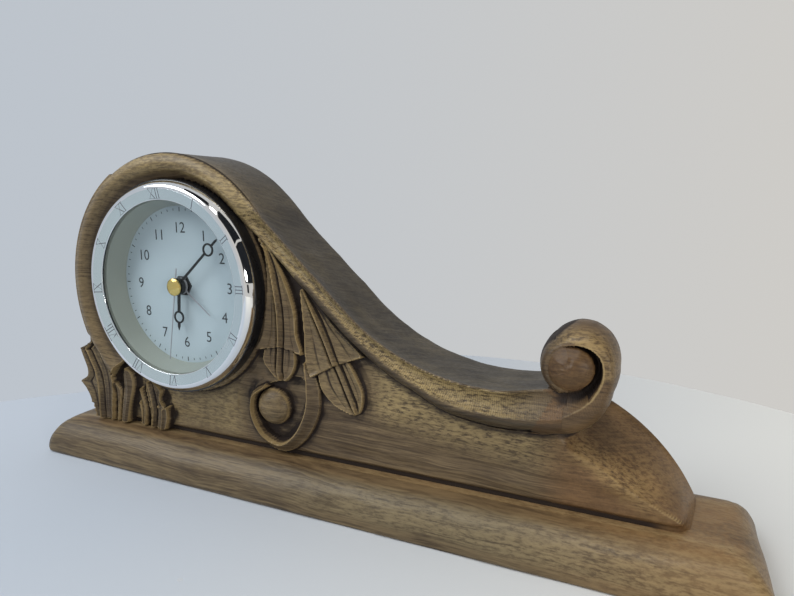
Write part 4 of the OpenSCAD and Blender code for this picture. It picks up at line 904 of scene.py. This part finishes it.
def stained_wood(name, low, high, deep, gold, rings=1050.0):
    """Stained and waxed wood. Year rings are planes of equal z + 0.3 y that wander slowly along X; recesses
    are darkened as painted shade, crests get pale lines that are part wear and part painted highlight, and
    gouged ground shows pale golden wood."""
    f = Finish(name, IOR=1.45, Specular_IOR_Level=0.34)
    x, y, z = f.parts(f.object_place())

    def along_rings(across, inward, upward, detail, roughness):
        vector = f.add("ShaderNodeCombineXYZ", {}, {0: x * across, 1: y * inward, 2: ring * upward})
        return f.noise(vector, detail, roughness)

    ring = z + y * 0.3 + f.grain((9, 24, 24)) * 0.012
    streak = along_rings(15.0, 50.0, rings, 4.0, 0.62)
    fine = along_rings(90.0, 200.0, rings * 1.5, 2.0, 0.6)
    cloud = f.grain((16, 34, 34), 4.0, 0.6)
    speck = f.grain((620, 800, 800), 3.0, 0.65)
    flakes = f.grain((300, 900, 950), 3.0, 0.7)
    crease, painted_shade, stroke, rough, worn_gold, ruddy, grey, hatch = (f.attribute(mark) for mark in MARKS)

    lines = (stroke * 8.0 + (speck - 0.5) * 12.0 + (cloud - 0.5) * 14.0).sine()
    # Pale crest lines, part wear and part painted highlight.
    crest_wear_and_highlight = (crease * -1.0 + (speck - 0.5) * 0.3 + (cloud - 0.5) * 0.4).step(0.24, 0.9)
    # Painted shade: the wood darkens towards the deep colour in recesses and where the shade mark is high.
    dark = (crease * 1.35 + painted_shade * 0.6 + (speck - 0.5) * 0.25).step(0.12, 1.0)
    tone = (streak * 0.6 + fine * 0.5 + cloud * 0.35).step(0.52, 0.92)
    soft = ruddy * ruddy * 0.75
    tone = tone * (1.0 - soft) + (cloud * 0.7 + speck * 0.3).step(0.40, 0.62) * soft
    grains = (flakes * 0.75 + fine * 0.25 + lines * hatch * 0.03).step(0.40, 0.60)
    shine = (worn_gold * (cloud.step(0.3, 0.62) * 0.5 + 0.5) * (grains * 0.75 + 0.25)).least(1.0)

    colour = f.mix(tone, tint(low), tint(high))
    colour = f.mix(ruddy * 0.9, colour, tint((1.16, 0.86, 0.64)), "MULTIPLY")
    colour = f.mix(grey, colour, tint((0.40, 0.46, 0.58)), "MULTIPLY")
    colour = f.mix(shine * 0.9, colour, f.mix(ruddy * 0.5, tint(gold), tint(gold, (0.85, 0.62, 0.42))))
    colour = f.mix(rough * flakes.step(0.47, 0.36) * 0.55, colour, tint(deep))
    colour = f.mix(hatch * lines.step(-0.3, -0.95) * 0.18, colour, tint(deep))
    colour = f.mix(crest_wear_and_highlight * 0.6, colour, tint(gold, (0.82, 0.78, 0.78)))
    colour = f.mix(dark * 0.94, colour, tint(deep))
    relief = streak * 0.25 + fine * 0.3 + speck * 0.2 + rough * flakes * 1.2 + hatch * lines * 0.16
    roughness = 0.44 + (speck - 0.5) * 0.35 + dark * 0.25 - grains * worn_gold * 0.08
    return f.feed(Base_Color=colour, Roughness=roughness.least(0.9), Normal=f.bump(relief, 0.00026, 0.85))


def polished_metal(name, colour, roughness=0.05, smear=0.03):
    """Mirror-like metal with a faint haze."""
    f = Finish(name, Metallic=1.0)
    haze = f.grain((60, 60, 60))
    return f.feed(Base_Color=f.mix(haze * 0.12, tint(colour), tint(colour, 0.86)),
                  Roughness=roughness + haze.step(0.45, 0.8) * smear)


def brushed_metal(name, colour, roughness=0.32):
    """Metal with fine level brush lines."""
    f = Finish(name, Metallic=1.0)
    lines = f.grain((90, 90, 2400))
    return f.feed(Base_Color=f.mix(lines * 0.35, tint(colour), tint(colour, 0.7)),
                  Roughness=roughness + (lines - 0.5) * 0.2, Normal=f.bump(lines, 0.00003, 0.6))


def moulded_plastic(name, colour, roughness=0.42, grain=0.00004, spread=0.12):
    """Plastic or paint with a fine grain of the given depth in metres and slow changes of tone."""
    f = Finish(name, IOR=1.49)
    fine = f.grain((1600, 1600, 1600), 2.0)
    broad = f.grain((70, 70, 70))
    return f.feed(Base_Color=f.mix(broad * (spread * 2), tint(colour), tint(colour, 0.72)),
                  Roughness=roughness + (broad - 0.5) * 0.18, Normal=f.bump(fine, grain, 0.7))


def clear_glass(name):
    """Thin window: light passes straight through, and the surface turned to the eye mirrors at a slant."""
    f = Finish(name, Roughness=0.02)
    through = f.add("ShaderNodeBsdfTransparent", {}, {"Color": tint((0.975, 0.99, 0.985))})
    gloss = f.add("ShaderNodeBsdfGlossy", {}, {"Color": tint((1, 1, 1)), "Roughness": 0.02})
    slant = f.add("ShaderNodeLayerWeight", {}, {"Blend": 0.18})
    front = 1.0 - f.add("ShaderNodeNewGeometry", output="Backfacing")
    f.show((slant * 0.55 + f.grain((40, 40, 40)) * 0.01) * front, through, gloss)
    return f.material


wood_case = stained_wood("case_wood", (0.056, 0.037, 0.021), (0.165, 0.116, 0.062), (0.015, 0.0095, 0.008),
                         (0.44, 0.33, 0.15))
wood_plinth = stained_wood("plinth_wood", (0.054, 0.036, 0.020), (0.172, 0.125, 0.066), (0.020, 0.013, 0.008),
                           (0.40, 0.32, 0.17), 850.0)
chrome = polished_metal("bezel_chrome", (0.86, 0.87, 0.88), 0.04)
ring_face = polished_metal("bezel_face", (0.66, 0.75, 0.76), 0.24, 0.05)
brass = polished_metal("cap_brass", (0.80, 0.58, 0.20), 0.16)
# pale_ring and dial_white are darker than the pale and white plastic they stand for: painted shade deep in the
# bezel.
pale_ring = moulded_plastic("pale_plastic", (0.31, 0.33, 0.30), 0.35, 0.00001)
dial_white = moulded_plastic("dial_white", (0.43, 0.50, 0.555), 0.4, 0.00001, 0.04)
ink = moulded_plastic("dial_ink", (0.02, 0.022, 0.028), 0.5, 0.00001)
ring_ink = polished_metal("ring_ink", (0.27, 0.28, 0.30), 0.2)
black_plastic = moulded_plastic("black_plastic", (0.012, 0.012, 0.013), 0.28)
grey_plastic = moulded_plastic("grey_plastic", (0.055, 0.056, 0.06), 0.5)
knob_plastic = moulded_plastic("knob_plastic", (0.035, 0.035, 0.038), 0.45)
switch_plastic = moulded_plastic("switch_plastic", (0.42, 0.05, 0.035), 0.4)
white_plastic = moulded_plastic("white_plastic", (0.72, 0.72, 0.69), 0.4)
rubber = moulded_plastic("band_rubber", (0.02, 0.02, 0.02), 0.8)
hand_black = moulded_plastic("hand_black", (0.006, 0.006, 0.007), 0.3, 0.00001)
pale_hand = moulded_plastic("hand_pale", (0.30, 0.30, 0.33), 0.4, 0.00001)
steel = brushed_metal("screw_steel", (0.56, 0.56, 0.57))
copper = brushed_metal("coil_copper", (0.55, 0.24, 0.10), 0.35)
board_green = moulded_plastic("board_green", (0.02, 0.12, 0.05), 0.3)
sleeve = moulded_plastic("battery_sleeve", (0.05, 0.12, 0.22), 0.25)
glass = clear_glass("clear_glass")

NODE_FINISH = {
    "case_screws": steel, "insert_body": black_plastic, "grip_band": rubber, "dial_nut": black_plastic,
    "hour_hand": hand_black, "minute_hand": hand_black, "second_hand": pale_hand, "hub_cap": brass,
    "alarm_hand": pale_hand, "movement_front": black_plastic, "movement_back": grey_plastic,
    "middle_plate": white_plastic, "movement_screws": steel, "cannon_pinion": brass,
    "motion_wheel": white_plastic, "hour_wheel": white_plastic, "alarm_wheel": white_plastic,
    "centre_wheel": white_plastic, "third_wheel": white_plastic, "second_wheel": white_plastic,
    "fifth_wheel": white_plastic, "rotor": grey_plastic, "stator": steel, "coil": copper,
    "circuit_board": board_green, "buzzer": brass, "battery": sleeve, "battery_contacts": steel,
    "time_knob": knob_plastic, "alarm_knob": knob_plastic, "alarm_switch": switch_plastic,
    "glass": glass, "dial": dial_white, "dial_ring": pale_ring, "bezel": chrome,
    "case": wood_case, "plinth": wood_plinth,
}
for name, finish in NODE_FINISH.items():
    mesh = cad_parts[name].data
    for i in range(len(mesh.materials)):
        mesh.materials[i] = finish


# Clock insert

def bars(strokes, lift):
    """Flat strokes as thin closed blocks: each stroke is (x0, z0, x1, z1, width) on the dial's plane."""
    thickness = 0.03
    s = np.asarray(strokes, float)
    start, end = s[:, :2], s[:, 2:4]
    run = end - start
    side = np.stack([-run[:, 1], run[:, 0]], 1) / np.linalg.norm(run, axis=1)[:, None] * s[:, 4:5] / 2
    corners = np.stack([start - side, end - side, end + side, start + side], 1)
    low = np.insert(corners, 1, lift, axis=-1)
    points = np.concatenate([low, low - np.array((0, thickness, 0))], 1)
    block = np.array([[0, 1, 2, 3], [7, 6, 5, 4], [0, 4, 5, 1], [1, 5, 6, 2], [2, 6, 7, 3], [3, 7, 4, 0]])
    faces = (np.arange(len(s)) * 8)[:, None, None] + block
    return points.reshape(-1, 3), faces.reshape(-1, 4)


def clockwise(strokes, degrees, radius):
    """Takes strokes drawn upright round (0, 0) out to the radius and turns them clockwise about the axis."""
    c, s = unit(degrees)
    out = []
    for *ends, width in strokes:
        turned = [(AXIS[0] + x * c + (z + radius) * s, AXIS[1] - x * s + (z + radius) * c)
                  for x, z in (ends[:2], ends[2:])]
        out.append((*turned[0], *turned[1], width))
    return out


def roman(text):
    """Roman numeral as strokes: I is an upright, V two slants and X two crossing slants, with fine serifs."""
    half_high, thick, thin, serif = 2.3, 0.42, 0.18, 0.14
    widths = {"I": 1.5, "V": 3.7, "X": 3.9}
    half_wide = sum(widths[c] for c in text) / 2
    at, strokes, h = -half_wide, [], half_high
    for c in text:
        left, middle, right = at + 0.4, at + widths[c] / 2, at + widths[c] - 0.4
        strokes += {"I": [(middle, -h, middle, h, thick)],
                    "V": [(left, h, middle, -h, thick), (right, h, middle, -h, thin)],
                    "X": [(left, h, right, -h, thick), (right, h, left, -h, thin)]}[c]
        at += widths[c]
    return strokes + [(0.1 - half_wide, end, half_wide - 0.1, end, serif) for end in (h, -h)]


def printed(strokes, name, material, slope=None, lift=0.0):
    """Strokes as one piece; on the bezel each corner follows the dished face."""
    points, faces = bars(strokes, lift)
    if slope:
        points[:, 1] += np.interp(far(points[:, 0], points[:, 2], AXIS), *slope)
    piece = mesh_piece(name, points, [faces], material, smooth=False)


NUMERAL_R, TICK_R, NUMBER_R, NUMBER_SIZE = 43.9, 36.6, 28.0, 7.3
DIAL_DEPTH = 13.61


def dial_number(hour):
    """Plain number on the dial: the font's outline, centred at its hour and turned into the dial's plane."""
    curve = bpy.data.curves.new(f"numeral_{hour}", "FONT")
    curve.body, curve.size, curve.extrude = str(hour), NUMBER_SIZE, 0.015
    text = bpy.data.objects.new(f"numeral_{hour}", curve)
    bpy.context.scene.collection.objects.link(text)
    mesh = bpy.data.meshes.new_from_object(text)
    bpy.data.objects.remove(text)
    co = np.zeros(len(mesh.vertices) * 3)
    mesh.vertices.foreach_get("co", co)
    co = co.reshape(-1, 3)
    co = co - (co.max(0) + co.min(0)) / 2
    x, z = AXIS + NUMBER_R * unit(90 - hour * 30)
    points = np.stack([co[:, 0] + x, BEZEL_Y + DIAL_DEPTH - 0.015 - co[:, 2], co[:, 1] + z], 1)
    mesh.vertices.foreach_set("co", (points * 0.001).ravel())
    mesh.materials.clear()
    numeral = placed(f"dial_numeral_{hour}", mesh, ink)
    sealed(numeral)


def clock_front():
    """Bezel, its printed ring, the wall down to the dial, dial and printing."""
    outline = rounded([(41.0, 1.44), (46.2, 0.4), (47.6, 0.62), (48.9, 2.0), (50.0, 4.3), (43.5, 4.3),
                       (43.5, 1.8), (41.0, 1.8)], [0.12, 0.5, 0.6, 0.9, 0.1, 0, 0.05, 0.05])
    bezel = lathe("polished_bezel", outline, chrome, 256)
    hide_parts("bezel")
    face = lathe("bezel_face", [(41.25, 1.5), (41.25, 1.36), (46.0, 0.41), (46.0, 0.55)], ring_face, 256)
    strokes = []
    for hour, text in enumerate(["XII", "I", "II", "III", "IV", "V", "VI", "VII", "VIII", "IX", "X", "XI"]):
        strokes += clockwise(roman(text), hour * 30 - 2.8, NUMERAL_R)
    printed(strokes, "ring_numerals", ring_ink, ([41, 46.2, 47], [1.41, 0.37, 0.42]),
            BEZEL_Y + 0.01)
    wall = lathe("dial_wall", [(40.8, 3.86), (42.5, 3.86), (42.5, 13.55), (38.3, 13.55)], pale_ring)
    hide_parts("dial_ring")
    pane = lathe("window_glass", [(0.001, 1.83), (43.3, 1.83), (43.3, 3.8), (0.001, 3.8)], glass, 128)
    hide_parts("glass")
    disc = lathe("dial_face", [(4.2, DIAL_DEPTH), (42.5, DIAL_DEPTH), (42.5, 14.1), (4.2, 14.1)], dial_white)
    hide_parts("dial")
    ticks = []
    for minute in range(60):
        half, width = (1.05, 0.45) if minute % 5 == 0 else (0.55, 0.34)
        ticks += clockwise([(0, -half, 0, half, width)], minute * 6, TICK_R)
    printed(ticks, "minute_ticks", ink, lift=BEZEL_Y + DIAL_DEPTH - 0.01)
    for hour in range(1, 13):
        dial_number(hour)


carved_case(wood_case)
volute_knob(wood_case)
moulded_plinth(wood_plinth)
clock_front()


# Stage, lights and camera

def stage_piece(name, points, faces, material):
    """Piece of the stage, from points in metres."""
    mesh = bpy.data.meshes.new(name)
    mesh.from_pydata(points.tolist(), [], faces.tolist())
    mesh.materials.append(material)
    piece = bpy.data.objects.new(name, mesh)
    bpy.context.scene.collection.objects.link(piece)


def stage_floor():
    """Pale table top with a rounded far edge, painted darker and bluish to the left and warm to the right as
    painted light and shade. The edge's distance is a curve of the direction from a middle in front of the
    clock."""
    f = Finish("pale_floor", Roughness=0.75)
    shade = (f.parts(f.object_place())[0] + f.grain((3, 3, 3), 2.0) * 0.06).step(-0.08, 0.32)
    material = f.feed(Base_Color=f.mix(shade, tint((0.50, 0.55, 0.62)), tint((0.88, 0.86, 0.80))))
    a = np.linspace(-180, 180, 145)[:-1]
    edge = np.interp(a, [-180, -90, 0, 30, 51, 55, 60, 67, 100, 130, 149, 154.5, 159.3, 180],
                     [290, 520, 470, 400, 368, 366, 362, 358, 330, 285, 255, 262.6, 269, 290])
    r = np.stack([np.ones_like(a), edge * 0.6, edge])
    x, y = r * np.cos(np.radians(a)) - 21.5, r * np.sin(np.radians(a)) - 85.6
    points = np.stack([x, y, 0 * x - 0.02], -1).reshape(-1, 3)
    stage_piece("floor", points * 0.001, grid_faces(3, len(a), False, True)[:, ::-1], material)


def world_light():
    """Even pale surroundings, bluish to the left and warm to the right where the camera, glass and metal
    see them, and plain white as a light."""
    world = bpy.data.worlds.new("surroundings")
    bpy.context.scene.world = world
    world.use_nodes = True
    world.node_tree.nodes.remove(world.node_tree.nodes["Background"])
    w = Nodes(world.node_tree)
    camera_ray, glossy_ray, through_ray = (w.add("ShaderNodeLightPath", output=f"Is {ray} Ray")
                                           for ray in ("Camera", "Glossy", "Transmission"))
    x = w.parts(w.add("ShaderNodeTexCoord", output="Generated"))[0]
    side = w.add("ShaderNodeMapRange", {}, {"Value": x, "From Min": -0.9, "From Max": 0.2})
    hue = w.mix(side, tint((0.500, 0.546, 0.605)), tint((0.618, 0.602, 0.572)))
    lit = w.add("ShaderNodeBackground", {}, {"Color": tint((0.93, 0.96, 1.0)), "Strength": 0.52})
    seen = w.add("ShaderNodeBackground", {}, {"Color": hue})
    w.show(camera_ray.most(glossy_ray).most(through_ray), lit, seen)


def dark_card(name, centre, across, up):
    """Dark screen that the polished bezel mirrors, clear to the camera: centre and two half sides in
    metres."""
    f = Finish(name)
    shade = f.mix(f.grain((4, 4, 4), 2.0), tint((0.010, 0.011, 0.013)), tint((0.03, 0.032, 0.036)))
    dark = f.add("ShaderNodeBsdfDiffuse", {}, {"Color": shade})
    clear = f.add("ShaderNodeBsdfTransparent", {}, {"Color": tint((1, 1, 1))})
    f.show(f.add("ShaderNodeLightPath", output="Is Camera Ray"), dark, clear)
    c, a, u = (np.asarray(v, float) for v in (centre, across, up))
    corners = np.stack([c - a - u, c + a - u, c + a + u, c - a + u])
    stage_piece(name, corners, np.array([[0, 1, 2, 3]]), f.material)


def soft_lamp(name, place, size, power, colour):
    """Round area lamp turned to the foot of the clock."""
    lamp = bpy.data.lights.new(name, "AREA")
    lamp.shape, lamp.size, lamp.energy, lamp.color = "DISK", size, power, colour
    obj = bpy.data.objects.new(name, lamp)
    bpy.context.scene.collection.objects.link(obj)
    obj.location = place
    direction = np.array((0, 0, 0.05)) - place
    yaw = math.atan2(direction[0], direction[1])
    pitch = math.atan2(direction[2], math.hypot(direction[0], direction[1]))
    obj.rotation_euler = Euler((math.pi / 2 + pitch, 0, -yaw))


stage_floor()
world_light()
soft_lamp("window_left", (-0.9, -0.9, 1.1), 1.2, 17, (0.95, 0.98, 1.0))
soft_lamp("ceiling_lamp", (0.10, -0.48, 1.15), 0.16, 3.0, (1.0, 0.98, 0.95))
soft_lamp("room_right", (0.90, -0.60, 0.26), 0.2, 2.8, (1.0, 0.96, 0.9))
dark_card("dark_ceiling", (-0.28, -0.36, 1.35), (0.3, 0, 0), (0, 0.22, 0))
dark_card("dark_shelf", (1.02, -0.40, 0.56), (0.0, 0.62, 0), (-0.08, 0, 0.42))
dark_card("dark_beam", (0.55, -0.42, 1.15), (0.0, 0.5, 0), (-0.28, 0, 0.20))
dark_card("dark_door", (1.02, -0.62, 0.03), (0.0, 0.16, 0), (0, 0, 0.08))

CAMERA_YAW, CAMERA_DOWN, CAMERA_ROLL = 24.483, 9.452, -0.124
camera = bpy.data.objects.new("camera", bpy.data.cameras.new("camera"))
camera.data.sensor_width, camera.data.lens, camera.data.clip_start = 36.0, 26.645, 0.01
camera.matrix_world = (Matrix.Translation((0.129146, -0.227767, 0.134372))
                       @ Matrix.Rotation(math.radians(CAMERA_YAW), 4, "Z")
                       @ Matrix.Rotation(math.radians(90 - CAMERA_DOWN), 4, "X")
                       @ Matrix.Rotation(math.radians(CAMERA_ROLL), 4, "Z"))
bpy.context.scene.collection.objects.link(camera)
bpy.context.scene.camera = camera
bpy.context.scene.view_settings.view_transform = "Standard"
